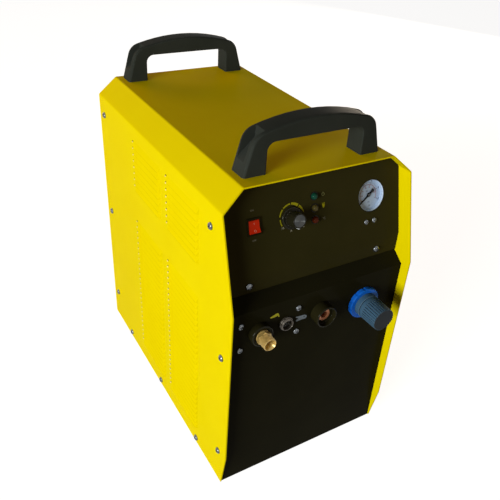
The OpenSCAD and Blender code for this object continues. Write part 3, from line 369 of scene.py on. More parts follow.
# Satin-gloss black enamel on the pressed front and rear panels: it mirrors what is near, a little softly
ENAMEL_BLACK = coated("black_panel_enamel", "#2F2D14", "#343117", 0.2, 2.2, 0.015, gloss=0.006)
# The same enamel on the lower panel, painted darker: painted shade
ENAMEL_LOWER_SHADE = coated("black_enamel_painted_shade", "#1B1A0D", "#1F1E10", 0.2, 2.2, 0.015, gloss=0.006)
# The same coat on the tray under the machine, duller
POWDER_BLACK = coated("black_powder_coat", "#1A1A16", "#20201C", 0.45, 1.4, 0.05, gloss=0.08)
# Glass-filled nylon, moulded with a fine spark texture: dull sheen that shows every soft edge
NYLON_HANDLE = coated("moulded_nylon", "#2E322E", "#353935", 0.36, 0.9, 0.04, rough_span=0.08, gloss=0.004)
# Its eased edges, lighter and glossier: a painted highlight along every edge
NYLON_EDGE_HIGHLIGHT = coated("nylon_painted_edge_highlight", "#5A6668", "#626E70", 0.24, 0.9, 0.02, rough_span=0.05, gloss=0.16)
# The knob's own rims, glossier still
KNOB_RIM = coated("polished_phenolic_rim", "#1E1D12", "#232216", 0.08, 1.2, 0.01, rough_span=0.02, gloss=0.45)
# ABS mouldings with a light grain
ABS_BLACK = coated("black_abs", "#15140D", "#1A1911", 0.18, 0.8, 0.02, gloss=0.09)
# The same plastic where the mould was polished: rims and corners that glint
ABS_RIM = coated("polished_black_rim", "#1A190F", "#1E1D12", 0.1, 0.8, 0.01, rough_span=0.02, gloss=0.12)
# Black melamine of the two sockets, so deep that it sinks into the panel
MELAMINE = coated("black_melamine", "#222010", "#262412", 0.2, 0.8, 0.02, gloss=0.006)
# Phenolic knob, pressed hot: deep black with a hard gloss
PHENOLIC = coated("phenolic_resin", "#1E1D12", "#232216", 0.2, 1.2, 0.02, gloss=0.05)
# Polycarbonate rocker, clear red all through
ROCKER_RED = coated("red_polycarbonate", "#D02A02", "#C42300", 0.36, 1.5, 0.02, gloss=0.08)
# Lamp lenses, tinted and unlit
LENS_GREEN = coated("green_lamp_lens", "#0A3A2C", "#124636", 0.14, 1.5, 0.02, coat=0.04, gloss=0.06)
LENS_AMBER = coated("amber_lamp_lens", "#4C4520", "#5A5226", 0.14, 1.5, 0.02, coat=0.04, gloss=0.06)
LENS_RED = coated("red_lamp_lens", "#4C1C08", "#58220C", 0.14, 1.5, 0.02, coat=0.02, gloss=0.03)
# Turned brass: fine rings from the lathe tool, soft gold
BRASS = machined("turned_brass", "#CDB26C", "#9C8044", 0.2, 0.7, (1, 1, 1), metallic=0.4, depth=0.03)
# Bare copper contact, darkened by air
COPPER = machined("aged_copper", "#B87850", "#965C3C", 0.26, 0.8, (1, 1, 1), metallic=0.4)
# Zinc-plated steel: bright screws and plates with faint clouding
ZINC = machined("zinc_plated_steel", "#7C8084", "#4C5056", 0.13, 1.6, (1, 1, 1), metallic=0.8, depth=0.01)
# Nickel-plated brass shell of the small socket, a warm grey
NICKEL = machined("nickel_plate", "#6E6860", "#4C4740", 0.2, 0.8, (1, 1, 1), metallic=0.45, depth=0.01)
# Spun aluminium disc with a fine concentric lay
ALUMINIUM = machined("drawn_aluminium", "#74767A", "#5A5C60", 0.3, 0.6, (1, 1, 1))
# Acetal nut, dyed blue, smooth from the mould
NUT_BLUE = coated("blue_acetal", "#1468D8", "#0F5CC4", 0.3, 2.0, 0.02, gloss=0.08)
# Its eased edges in a lighter blue: a painted highlight
NUT_EDGE_HIGHLIGHT = coated("blue_acetal_painted_edge_highlight", "#2A86E0", "#2078D0", 0.18, 2.0, 0.01, gloss=0.3)
# Filled nylon of the regulator's knob and bonnet, blue-grey with a matt grain
NYLON_BLUE = coated("slate_nylon", "#40607A", "#3A5870", 0.4, 0.8, 0.03, gloss=0.05)
# Its eased edges and ribs in a lighter blue-grey: a painted highlight
NYLON_RIB_HIGHLIGHT = coated("slate_nylon_painted_edge_highlight", "#5C7488", "#546C80", 0.3, 0.8, 0.02, gloss=0.2)
# A darker blue-grey for the knob's end face: painted shade
NYLON_END_SHADE = coated("slate_nylon_painted_shade", "#2C3238", "#262C32", 0.42, 0.8, 0.03, gloss=0.04)
# Black styrene rubber, dull
RUBBER = coated("foot_rubber", "#141414", "#1B1B1A", 0.75, 1.2, 0.05)
# Screen-printed enamel for marks
PRINT_YELLOW = coated("yellow_print", "#9C9A18", "#928E12", 0.5, 1.0, 0.01, gloss=0.05)
PRINT_WHITE = coated("white_print", "#C4C8CC", "#B8BCC0", 0.5, 1.0, 0.01, gloss=0.1)
PRINT_PALE = coated("pale_print", "#AEAE9E", "#A4A490", 0.5, 1.0, 0.01, gloss=0.05)
PRINT_GREY = coated("grey_print", "#78776C", "#6E6D60", 0.5, 1.0, 0.01, gloss=0.05)
PRINT_OLIVE = coated("olive_print", "#7C7F52", "#74774A", 0.5, 1.0, 0.01, gloss=0.05)
PRINT_LIME = coated("lime_print", "#B0AE34", "#A6A42C", 0.5, 1.0, 0.01, gloss=0.05)
PRINT_COOL = coated("cool_grey_print", "#8A98A6", "#808E9C", 0.5, 1.0, 0.01, gloss=0.05)
PRINT_PINK = coated("pink_print", "#D88C78", "#CC8270", 0.5, 1.0, 0.01)
PRINT_BLACK = coated("black_print", "#0C0C0C", "#101010", 0.5, 1.0, 0.01, gloss=0.02)
PRINT_RED = coated("red_print", "#9A4048", "#8C383E", 0.5, 1.0, 0.01, gloss=0.05)
PRINT_BLUE = coated("blue_print", "#1E3C74", "#18346A", 0.5, 1.0, 0.01, gloss=0.05)
# Painted steel dial, off-white with a cool cast
DIAL_WHITE = coated("white_dial_enamel", "#C4D4E8", "#BACBE2", 0.4, 2.0, 0.01, gloss=0.1)
# Circuit board laminate under green resist
RESIST = coated("green_solder_resist", "#1E5A36", "#1A502F", 0.35, 3.0, 0.03)
# Wound enamelled copper wire, ferrite, capacitor sleeves, castings, hose: all behind the cover
WIRE = coated("enamelled_wire", "#A2602A", "#8C5022", 0.35, 1.0, 0.15)
FERRITE = coated("sintered_ferrite", "#343434", "#2C2C2C", 0.6, 1.0, 0.04)
SLEEVE = coated("shrink_sleeve", "#22324A", "#1E2C42", 0.3, 2.0, 0.02)
CASTING = coated("die_cast_alloy", "#9A9EA0", "#8C9092", 0.5, 1.2, 0.1, metallic=0.8)
HOSE = coated("polyurethane_hose", "#3A6CA6", "#33629A", 0.35, 1.0, 0.02)
LAMINATE = coated("paper_laminate", "#6E4224", "#62391E", 0.5, 0.8, 0.03)
BREAKER_GREY = coated("grey_thermoset", "#CFCFC8", "#C6C6BE", 0.5, 1.0, 0.03)
# Dark olive for the slot marks: painted shade
SHADOW = coated("slot_shadow", "#3A3400", "#2E2A00", 0.8, 2.0, 0.02, gloss=0.01)
# A pale dot at the end of each louvre slot: painted highlight
SLOT_GLINT = coated("painted_slot_glint", "#FFFAD8", "#FBF4C8", 0.4, 2.0, 0.02, gloss=0.05)


def glass_material():
    """Clear acrylic gauge window, moulded: almost invisible but for its gloss."""
    mat, _ = new_material("clear_acrylic")
    clear = add(mat, "ShaderNodeBsdfTransparent", {"Color": (0.96, 0.98, 1.0, 1)})
    gloss = add(mat, "ShaderNodeBsdfGlossy", {"Color": (1, 1, 1, 1), "Roughness": 0.06})
    edge = add(mat, "ShaderNodeLayerWeight", {"Blend": 0.5})
    rise = add(mat, "ShaderNodeMath", {1: 4.0}, {0: edge.outputs["Facing"]}, operation="POWER")
    share = add(mat, "ShaderNodeMath", {1: 0.4, 2: 0.006}, {0: rise.outputs[0]}, operation="MULTIPLY_ADD")
    blend = add(mat, "ShaderNodeMixShader", links={0: share.outputs[0], 1: clear.outputs[0], 2: gloss.outputs[0]})
    return finish_material(mat, blend)


ACRYLIC = glass_material()


def paint(piece, material):
    piece.data.materials.clear()
    piece.data.materials.append(material)


def on_node(name, material):
    """Gives a CAD node its material."""
    mesh = nodes[name].data
    if not mesh.materials:
        mesh.materials.append(material)
    for i in range(len(mesh.materials)):
        mesh.materials[i] = material


def body_of(name):
    """The moving body that holds a CAD node."""
    for body, held in frame["record"]["behaviour"]["bodies"].items():
        if name in held:
            return body


def place_piece(piece, material, body="housing", *stands_for):
    """Paints a piece if a material is given, puts it on its body and hides the CAD nodes that it stands for."""
    if material:
        paint(piece, material)
    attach(piece, body)
    if stands_for:
        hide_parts(*stands_for)
    return piece


def round_lips(cover):
    """Rounds the long lip of every louvre in the cover, gives that rounding the painted lip shade and the louvres'
    front ramps the painted ramp shade.
    """
    only(cover)
    bpy.ops.object.mode_set(mode="EDIT")
    bpy.ops.mesh.select_mode(type="EDGE")
    bpy.ops.mesh.select_all(action="DESELECT")
    bpy.ops.object.mode_set(mode="OBJECT")
    for edge in cover.data.edges:
        a, b = (cover.data.vertices[i].co / MM for i in edge.vertices)
        if min(abs(a.x), abs(b.x)) > BODY_W / 2 + 2.4 and abs(a.z - b.z) < 0.05 and abs(a.y - b.y) > 5:
            edge.select = True
    bpy.ops.object.mode_set(mode="EDIT")
    bpy.ops.mesh.bevel(offset=0.55 * MM, segments=3, affect="EDGES", material=1)
    bpy.ops.mesh.select_mode(type="VERT")
    bpy.ops.object.mode_set(mode="OBJECT")
    # Painted shade: the front ramps of the louvres take the darker ramp coat
    cover.data.materials.append(POWDER_RAMP_SHADE)
    for face in cover.data.polygons:
        if abs(face.center.x) / MM > BODY_W / 2 + 0.1 and face.normal.y < -0.3:
            face.material_index = 2


def dressed(name, material, bevel, segments, angle=32, edge=None):
    """A clean copy of a CAD node with its sharp edges eased, in a finish of their own if one is given; on several
    pieces that finish is a lighter colour, a painted highlight.
    """
    copy = nodes[name].copy()
    copy.data = nodes[name].data.copy()
    bpy.context.collection.objects.link(copy)
    copy.parent = None
    copy.matrix_world = nodes[name].matrix_world.copy()
    copy.name = name + "_finish"
    settle(copy)
    paint(copy, material)
    if edge:
        copy.data.materials.append(edge)
    mesh_edit(copy, lambda: bpy.ops.mesh.remove_doubles(threshold=0.00001))
    if name == "cover":
        round_lips(copy)
    if bevel:
        mesh_edit(copy, lambda: bpy.ops.mesh.dissolve_limited(angle_limit=math.radians(0.6)))
        use_modifier(
            copy,
            "BEVEL",
            width=bevel * MM,
            segments=segments,
            limit_method="ANGLE",
            angle_limit=math.radians(angle),
            miter_outer="MITER_ARC",
            material=1 if edge else -1,
        )
    smooth(copy, angle)
    use_modifier(copy, "WEIGHTED_NORMAL", weight=100, keep_sharp=True)
    return place_piece(copy, None, body_of(name), name)


# The pieces that show as the CAD has them
for name, material in {
    "deck": ZINC,
    "handle_bolts": ZINC,
    "potentiometer": ZINC,
    "pot_shaft": ZINC,
    "control_board": RESIST,
    "board_spacers": BRASS,
    "gauge_bracket": ZINC,
    "terminal_plate": LAMINATE,
    "regulator_spindle": ZINC,
    "fan_rotor": ABS_BLACK,
    "fan_guard": ZINC,
    "power_board": RESIST,
    "heat_sinks": ALUMINIUM,
    "transformer_core": FERRITE,
    "transformer_winding": WIRE,
    "capacitors": SLEEVE,
    "compressor_motor": CASTING,
    "compressor_heads": CASTING,
    "compressor_mounts": RUBBER,
    "air_valve": BRASS,
    "air_pipes": HOSE,
    "gauge_dial": DIAL_WHITE,
    "gauge_needle": PRINT_BLACK,
    "gauge_lens": ACRYLIC,
}.items():
    on_node(name, material)


# ---------- finished pieces ----------
def solids_of(name):
    """The corners, in millimetres, of the boxes round a CAD node's separate solids."""
    obj = nodes[name]
    spots = [obj.matrix_world @ v.co / MM for v in obj.data.vertices]
    root = list(range(len(spots)))

    def find(i):
        while root[i] != i:
            root[i] = root[root[i]]
            i = root[i]
        return i

    first = {}
    for i, spot in enumerate(spots):
        root[find(i)] = find(first.setdefault(tuple(round(c, 3) for c in spot), i))
    for face in obj.data.polygons:
        for i in face.vertices:
            root[find(i)] = find(face.vertices[0])
    groups = {}
    for i, spot in enumerate(spots):
        groups.setdefault(find(i), []).append(spot)
    return [
        (Vector([min(s[k] for s in g) for k in range(3)]), Vector([max(s[k] for s in g) for k in range(3)]))
        for g in groups.values()
    ]


def hex_nut(name, across, thick, z=0.0, bore=0.0):
    """A hexagon with turned chamfers on both faces."""
    point = across / math.sqrt(3)
    nut = disc(name, point, thick, (0, 0, z), 6)
    rounding = turned(
        "rounding",
        [(0, z), (across / 2 - 0.1, z), (point + 0.1, z + 0.7), (point + 0.1, z + thick - 0.7),
         (across / 2 - 0.1, z + thick), (0, z + thick)],
        36,
    )
    use_modifier(nut, "BOOLEAN", object=rounding, operation="INTERSECT", solver="EXACT")
    bpy.data.objects.remove(rounding, do_unlink=True)
    if bore:
        cut(nut, disc("bore", bore, thick + 2, (0, 0, z - 1), 24))
    smooth(nut, 25)
    return nut


def cross_screw(name, radius, height, shank, length):
    """A domed screw with a cross recess, its seat on Z = 0, its shank below."""
    head = turned(
        name,
        [(0, height), (radius * 0.42, height * 0.95), (radius * 0.74, height * 0.74), (radius * 0.93, height * 0.42),
         (radius, height * 0.14), (radius * 0.98, 0), (shank, 0), (shank, -length), (0, -length)],
        28,
    )
    for turn in (0.5, 0.5 + math.pi / 2):
        cut(head, box_piece("slot", (radius * 1.2, radius * 0.26, height), (0, 0, height * 0.96), turn))
    smooth(head, 38)
    return head


def screw_set(name, first, places, node):
    heads = []
    for i, place in enumerate(places):
        heads.append(twin(first, place @ Matrix.Rotation(0.9 * i, 4, "Z")))
    bpy.data.objects.remove(first, do_unlink=True)
    return place_piece(join(name, heads), ZINC, "housing", node)


# Domed screws down both sides of the cover
cover_places = []
for low, high in solids_of("cover_screws"):
    mid = (low + high) / 2
    side = math.copysign(1, mid.x)
    spot = Matrix.Translation(Vector((side * BODY_W / 2, mid.y, mid.z)) * MM)
    cover_places.append(spot @ Matrix.Rotation(side * math.pi / 2, 4, "Y"))
screw_set("cover_screw_set", cross_screw("screw", 4.5, 3.1, 2, 8), cover_places, "cover_screws")

# The two screws in the fold between the front panels
fold_places = []
for low, high in solids_of("panel_screws"):
    mid = (low + high) / 2
    spot = Matrix.Translation(Vector((mid.x, high.y - 8, mid.z)) * MM)
    fold_places.append(spot @ Matrix.Rotation(math.pi / 2, 4, "X"))
screw_set("fold_screw_set", cross_screw("screw", 4.5, 3.0, 2, 8), fold_places, "panel_screws")

# Screws under the gauge, and those of the terminal plate, with their nuts behind
small = join("screw", [cross_screw("head", 3.35, 2.3, 1.5, 9), hex_nut("nut", 5.5, 2.5, -5.5)])
screw_set("gauge_screw_set", small, [upper_place(78.3 + x, 53.3) for x in (-6, 6)], "gauge_screws")
large = join("screw", [cross_screw("head", 3.95, 2.7, 2, 12), hex_nut("nut", 7, 3.2, -9.7)])
screw_set(
    "terminal_screw_set", large,
    [lower_place(-68.4 + x, 239.7 + z) for x in (-38.3, 38.3) for z in (-17.3, 17.3)], "terminal_screws",
)


def torch_piece():
    """The torch terminal: a turned brass stem with a hexagon, then a cut thread with a cone mouth."""
    thread_base, thread_end, pitch = 14.0, 25.5, 1.4
    stem = spun(
        "torch_stem",
        [(2.5, -18.5), (7.5, -18.5), (7.8, -18.2), (7.8, 6), (8.5, 6), (8.7, 6.2), (8.7, 9.3), (8.5, 9.5),
         (7.0, 9.5), (7.0, 14.6), (2.5, 14.6)],
    )
    teeth = []
    for i in range(12):
        z = 12.2 + pitch * i
        teeth += [(7.1, z), (7.85, z + 0.55), (8.0, z + 0.62), (8.0, z + 0.78), (7.85, z + 0.85), (7.1, z + 1.38)]
    thread = profile_line("torch_thread", teeth)
    use_modifier(thread, "SCREW", axis="Z", angle=2 * math.pi, screw_offset=pitch * MM, steps=48, render_steps=48)
    mesh_edit(thread, lambda: bpy.ops.mesh.remove_doubles(threshold=0.00001))
    for z, end in ((thread_base, "clear_inner"), (thread_end, "clear_outer")):
        mesh_edit(
            thread,
            lambda: bpy.ops.mesh.bisect(
                plane_co=(0, 0, z * MM), plane_no=(0, 0, 1), use_fill=True, threshold=0.000001, **{end: True}
            ),
        )
    outward(thread)
    cut(thread, turned("mouth", [(0, 12), (2.5, 12), (2.5, 18), (6.95, 25.5), (7.3, 26.2), (0, 26.2)], 36))
    cut(thread, spun("chamfer", [(7.25, 25.6), (7.25, 25.45), (8.4, 24.4), (8.4, 25.6)], 36))
    smooth(stem, 30)
    smooth(thread, 40)
    collar = hex_nut("collar", 16.2, 4.5, 9.5, 2.6)
    lock = hex_nut("lock", 21.6, 6, -17.5, 2.6)
    return settle(join("torch_terminal_brass", [stem, thread, collar, lock]), lower_place(TORCH_X, SOCKET_ROW))


place_piece(torch_piece(), BRASS, "housing", "torch_terminal")


def trigger_piece():
    """The trigger socket: a plated shell with a flange and a short thread, and its nut."""
    teeth = []
    for i in range(3):
        teeth += [(7.5, 2.85 + 0.8 * i), (7.8, 3.2 + 0.8 * i), (7.8, 3.3 + 0.8 * i)]
    shell = spun(
        "trigger_shell",
        [(6.6, -14.5), (7.6, -14.5), (7.8, -14.3), (7.8, 0), (8.8, 0), (9, 0.3), (9, 2.3), (8.6, 2.8)]
        + teeth + [(7.5, 5.2), (7.2, 5.4), (6.9, 5.4), (6.6, 5.0)],
    )
    for turn in (0, 90, 180, 270):
        a = math.radians(turn + 20)
        cut(shell, box_piece("notch", (1.6, 1.8, 4), (9 * math.cos(a), 9 * math.sin(a), 2.6), a))
    smooth(shell, 30)
    nut = hex_nut("nut", 19, 3, -9.5, 7.0)
    return settle(join("trigger_shell", [shell, nut]), lower_place(TRIGGER_X, SOCKET_ROW))


place_piece(trigger_piece(), NICKEL, "housing", "trigger_socket")
pins = [
    turned("pin", [(0, 4.05), (0.6, 3.95), (1.0, 3.5), (1.06, 2.9), (1.06, 1.9), (0, 1.9)], 16) for _ in range(2)
]
for pin, x in zip(pins, (-2.6, 2.6)):
    smooth(pin, 40)
    settle(pin, lower_place(TRIGGER_X + x, SOCKET_ROW))
place_piece(join("trigger_pins", pins), NICKEL, "housing")

# Mouldings, pressings and turned parts with their edges eased
for name, material, bevel, segments, *more in (
    ("cover", POWDER_YELLOW, 0, 0, 9, POWDER_LIP_SHADE),
    ("front_upper_panel", ENAMEL_BLACK, 0.4, 2),
    ("front_lower_panel", ENAMEL_LOWER_SHADE, 0.4, 2),
    ("rear_panel", ENAMEL_BLACK, 0, 0),
    ("base_tray", POWDER_BLACK, 0, 0),
    ("feet", RUBBER, 0.9, 3),
    ("rocker_frame", MELAMINE, 0.35, 2),
    ("rocker_button", ROCKER_RED, 0.4, 3),
    ("current_knob", PHENOLIC, 0.35, 2, 32, KNOB_RIM),
    ("torch_insulator", MELAMINE, 0.4, 2, 32, ABS_RIM),
    ("trigger_insert", ABS_BLACK, 0.3, 2),
    ("earth_socket", MELAMINE, 0.5, 3, 32, ABS_RIM),
    ("earth_contact", COPPER, 0.3, 2),
    ("regulator_body", NYLON_BLUE, 0.5, 2, 32, NYLON_RIB_HIGHLIGHT),
    ("regulator_nut", NUT_BLUE, 0.4, 2, 32, NUT_EDGE_HIGHLIGHT),
    ("regulator_knob", NYLON_BLUE, 0.28, 2, 32, NYLON_RIB_HIGHLIGHT),
    ("gauge_case", ABS_BLACK, 0.3, 2),
    ("led_holders", ABS_BLACK, 0.2, 2),
    ("fan_frame", ABS_BLACK, 0.7, 2),
    ("breaker_body", BREAKER_GREY, 0.8, 2),
    ("breaker_lever", ABS_BLACK, 0.5, 2),
    ("cable_gland", NYLON_HANDLE, 0.4, 2),
    ("air_inlet", BRASS, 0.3, 2),
    ("earth_stud", ZINC, 0.3, 2),
    ("front_handle", NYLON_HANDLE, 1.1, 3, 28, NYLON_EDGE_HIGHLIGHT),
    ("rear_handle", NYLON_HANDLE, 1.1, 3, 28, NYLON_EDGE_HIGHLIGHT),
):
    dressed(name, material, bevel, segments, *more)


def louvre_marks(name, size, off, back, up):
    """One small piece at the rear end of every louvre, on both sides."""
    first = box_piece("mark", size)
    use_modifier(first, "BEVEL", width=0.2 * MM, segments=1)
    marks = []
    for side in (-1, 1):
        for y in LOUVRE_COLUMNS:
            for base, count in LOUVRE_BLOCKS:
                for i in range(count):
                    rise = FOOT + base + LOUVRE_PITCH * i + up
                    spot = Vector((side * (BODY_W / 2 + off), NOSE_Y + y + LOUVRE_LENGTH + back, rise))
                    marks.append(twin(first, Matrix.Translation(spot * MM)))
    bpy.data.objects.remove(first, do_unlink=True)
    return join(name, marks)


# Painted shade: a dark mark over the lanced slot behind each louvre, longer than the slot, and beside it a pale dot,
# a painted highlight at its end
place_piece(louvre_marks("louvre_slot_shades", (1.2, 3.9, 1.7), -0.55, 3.2, 7.1), SHADOW, "housing")
place_piece(louvre_marks("louvre_slot_glints", (1.0, 1.5, 1.4), 0.1, 4.4, 5.4), SLOT_GLINT, "housing")

# Painted shade: the flat end face of the regulator's knob, turned from the lamps, takes a darker blue-grey
knob = bpy.data.objects["regulator_knob_finish"]
knob.data.materials.append(NYLON_END_SHADE)
tip = box_mm("regulator_knob")[0].y
for face in knob.data.polygons:
    if face.center.y / MM < tip + 0.3 and face.normal.y < -0.8:
        face.material_index = len(knob.data.materials) - 1


def lens(node, material, i):
    """A lamp lens: a turned body with a domed top."""
    dome = [(3.95 * math.cos(a), 1.2 + 3.95 * math.sin(a)) for a in (i * math.pi / 16 for i in range(8, -1, -1))]
    dome[0] = (0, dome[0][1])
    piece = turned(node + "_lens", dome + [(3.95, -6), (4.5, -6), (4.5, -7.5), (0, -7.5)], 32)
    smooth(piece, 35)
    place_piece(settle(piece, upper_place(-1.3, 86.3 + 13.7 * i)), material, "housing", node)


lens("led_green", LENS_GREEN, 1)
lens("led_amber", LENS_AMBER, 0)
lens("led_red", LENS_RED, -1)

KNOB = upper_place(-32, 81.2)


def spun_material(place):
    """Spun aluminium: a concentric lay round the disc's own axis, which draws the light out into a bow."""
    mat, coords = new_material("spun_aluminium")
    centre = place.translation
    axis = place.to_3x3() @ Vector((0, 0, 1))
    arm = add(mat, "ShaderNodeVectorMath", {1: centre}, {0: coords}, operation="SUBTRACT")
    lay = add(mat, "ShaderNodeVectorMath", {1: axis}, {0: arm.outputs[0]}, operation="CROSS_PRODUCT")
    reach = add(mat, "ShaderNodeVectorMath", links={0: lay.outputs[0]}, operation="LENGTH")
    rings = add(
        mat, "ShaderNodeTexNoise", {"Scale": 4000, "Detail": 2}, {"W": reach.outputs["Value"]}, noise_dimensions="1D"
    )
    shader = add(
        mat,
        "ShaderNodeBsdfPrincipled",
        {"Metallic": 1.0, "Anisotropic": 1.0},
        {
            "Base Color": mixed(mat, rings.outputs["Fac"], "#525454", "#464848"),
            "Roughness": span(mat, rings.outputs["Fac"], 0.48, 0.54),
            "Tangent": arm.outputs[0],
        },
    )
    return finish_material(mat, shader)


# The knob's cap: a spun disc in a fine lay, slightly dished
cap = turned("cap_disc", [(0, 16.15), (1.2, 16.1), (6.3, 16.3), (6.8, 16.4), (7.1, 16.15), (7.1, 15), (0, 15)], 48)
smooth(cap, 30)
place_piece(settle(cap, KNOB), spun_material(KNOB), body_of("knob_cap"), "knob_cap")
line = box_piece("pointer", (1.0, 1.3, 5.2), (8.9, 0, 13))
use_modifier(line, "BEVEL", width=0.2 * MM, segments=2)
settle(line, KNOB @ Matrix.Rotation(math.radians(265), 4, "Z"))
place_piece(line, PRINT_WHITE, body_of("current_knob"))


# ---------- printed marks ----------
def knob_scale():
    """A band in five steps that grows and ends in a point, with its numbers."""
    place = upper_place(-32, 82.2)
    bands = (
        (211, 181, (14.3, 14.3), (15.5, 15.4)), (169, 136, (14.6, 14.5), (16.0, 16.0)),
        (131, 94, (14.6, 14.5), (16.1, 16.2)), (88, 53, (14.1, 12.9), (16.4, 16.4)),
        (47, 7, (12.8, 16.3), (16.3, 16.6)),
    )
    parts = [ring_arc("scale", r_in, r_out, start, end, 16) for start, end, r_in, r_out in bands]
    place_piece(settle(join("knob_scale", parts), place), PRINT_YELLOW)
    for words, x, y in (("10", -12.3, -10.4), ("A", -1.5, -15.6), ("40", 14.2, -14.0)):
        place_piece(lettering("knob_mark_" + words, words, 3.6, (x, y), place), PRINT_PALE)


knob_scale()


def icon_power(place):
    ring = ring_arc("ring", 1.5, 2.05, 120, 420, 28)
    bar = box_piece("bar", (0.55, 2.2, MARK_THICK), (0, 1.6, MARK_THICK / 2))
    return settle(join("icon_power", [ring, bar]), place)


def icon_plug(place):
    """A small cup with three prongs."""
    cup = flat_shape("cup", [(-1.9, 1.0), (-1.3, -1.4), (-0.9, -3.0), (0.7, -3.0), (1.3, -1.4), (1.9, 1.0)])
    prongs = [box_piece("prong", (0.55, 1.7, MARK_THICK), (x, 1.9, MARK_THICK / 2)) for x in (-1.5, 0, 1.5)]
    return settle(join("icon_output", [cup] + prongs), place)


place_piece(icon_power(upper_place(11.2, 99.8)), PRINT_OLIVE)
place_piece(icon_plug(upper_place(11.2, 87.2)), PRINT_YELLOW)
place_piece(lettering("icon_heat", "°C", 4.0, (0, 0), upper_place(11.2, 71.4)), PRINT_GREY)
place_piece(lettering("mark_on", "ON", 2.8, (0, 0), upper_place(-80.6, 99.9)), PRINT_GREY)
place_piece(lettering("mark_off", "OFF", 2.8, (0, 0), upper_place(-80.6, 66.4)), PRINT_GREY)


def rocker_marks():
    """I on the upper, pressed half; O on the lower half that stands out."""
    flat = upper_place(-80.4, 82)
    bar = box_piece("bar", (0.45, 2.2, 0.14), (0, 3.9, 2.24))
    settle(bar, flat)
    raised = flat @ Matrix.Translation(Vector((0, 0, 2.2)) * MM) @ Matrix.Rotation(math.radians(-22), 4, "X")
    ring = spun("ring", [(1.0, 0), (1.42, 0), (1.42, 0.14), (1.0, 0.14)], 28)
    settle(ring, raised @ Matrix.Translation(Vector((0, -4.3, -0.02)) * MM))
    place_piece(join("rocker_marks", [bar, ring]), PRINT_PINK, body_of("rocker_button"))


rocker_marks()


def torch_icon(place):
    """A small cutting torch: a tapered handle whose head turns down to a nozzle."""
    outline = [(-6.9, -0.6), (2.6, 2.8), (4.4, 1.5), (6.1, -3.2), (4.9, -3.8), (3.6, -1.3),
               (2.5, -1.8), (-1.0, -2.2), (-5.6, -2.2)]
    return settle(flat_shape("icon_torch", outline), place)


def clamp_icon(place):
    """A small earth clamp: two jaws and the eye its lead goes through."""
    outline = [(-7.7, 3.9), (-1.6, 3.2), (4.8, 2.8), (7.9, 1.0), (8.5, -1.5), (6.3, -3.4), (0.3, -3.0),
               (-4.2, -3.6), (-6.6, -3.4), (-6.8, -1.5), (-3.6, 0.0), (-5.3, 1.2), (-7.6, 2.2)]
    body = flat_shape("icon_clamp", outline)
    cut(body, disc("eye", 0.9, 1, (4.6, 0.1, -0.5), 20))
    return settle(body, place)


place_piece(torch_icon(lower_place(-62, 257)), PRINT_LIME)
place_piece(clamp_icon(lower_place(-25, 240.5)), PRINT_COOL)


GAUGE = upper_place(80.8, 84.2)


def off_panel(height):
    return GAUGE @ Matrix.Translation((0, 0, height * MM))


def scale_ticks(count, big, r_end, long, short):
    """Ticks that all end at one radius, every so manyth long and bold."""
    ticks = []
    for i in range(count + 1):
        a = math.radians(DIAL_ZERO - DIAL_SWEEP * i / count)
        bold = i % big == 0
        size = long if bold else short
        r = r_end - size / 2
        spot = (r * math.cos(a), r * math.sin(a), DIAL_MARK_THICK / 2)
        ticks.append(box_piece("tick", (size, 0.5 if bold else 0.22, DIAL_MARK_THICK), spot, a))
    return ticks


def gauge_marks():
    """Two scales on the dial, an outer one in blue and an inner one in red."""
    dial = off_panel(-6.2)
    place_piece(settle(join("dial_outer_ticks", scale_ticks(40, 8, 15.2, 2.4, 1.3)), dial), PRINT_BLUE)
    inner = scale_ticks(28, 4, 12.0, 2.0, 1.1)
    inner.append(ring_arc("arc", 12.0, 12.4, DIAL_ZERO, DIAL_ZERO - DIAL_SWEEP, 48, DIAL_MARK_THICK))
    place_piece(settle(join("dial_inner_ticks", inner), dial), PRINT_RED)
    numbers = [("dial_number", 2 * i, 3.5, 16.9, i, 5, PRINT_BLUE) for i in range(6)]
    numbers += [("dial_inner", 20 * i, 2.0, 8.9, i, 7, PRINT_RED) for i in range(1, 7)]
    for kind, value, height, r, step, steps, ink in numbers:
        a = math.radians(DIAL_ZERO - DIAL_SWEEP * step / steps)
        spot = (r * math.cos(a), r * math.sin(a))
        place_piece(lettering("%s_%d" % (kind, value), str(value), height, spot, dial, DIAL_MARK_THICK), ink)
    for name, words, height, spot, ink in (
        ("dial_unit", "bar", 3.0, (-1.3, 4.9), PRINT_BLUE),
        ("dial_second_unit", "psi", 2.6, (0.6, -8.8), PRINT_BLUE),
        ("dial_class", "2.5", 2.8, (1.3, -13.6), PRINT_BLACK),
    ):
        place_piece(lettering(name, words, height, spot, dial, DIAL_MARK_THICK), ink)


gauge_marks()
hub = turned("needle_hub", [(0, 1.0), (1.7, 0.9), (2.7, 0.4), (2.85, 0), (0, 0)], 28)
smooth(hub, 35)
tail = flat_shape(
    "needle_tail",
    [(17.2, -0.3), (2, -1.15), (-5.5, -1.7), (-8.4, -2.4), (-9.4, -1.2),
     (-9.4, 1.2), (-8.4, 2.4), (-5.5, 1.7), (2, 1.15), (17.2, 0.3)],
    0.45,
)
settle(tail, Matrix.Rotation(math.radians(DIAL_ZERO), 4, "Z"))
place_piece(settle(join("needle_hub", [hub, tail]), off_panel(-5.0)), PRINT_BLACK, body_of("gauge_needle"))
pivot = turned("needle_pivot", [(0, 1.15), (0.9, 1.1), (1.1, 0.9), (1.1, 0.8), (0, 0.8)], 20)
smooth(pivot, 35)
place_piece(settle(pivot, off_panel(-5.0)), NICKEL, body_of("gauge_needle"))
liner = spun("gauge_liner", [(18.3, -6.2), (18.85, -6.2), (18.85, -0.6), (18.6, -0.6)], 64)
smooth(liner, 35)
place_piece(settle(liner, GAUGE), DIAL_WHITE, "housing")
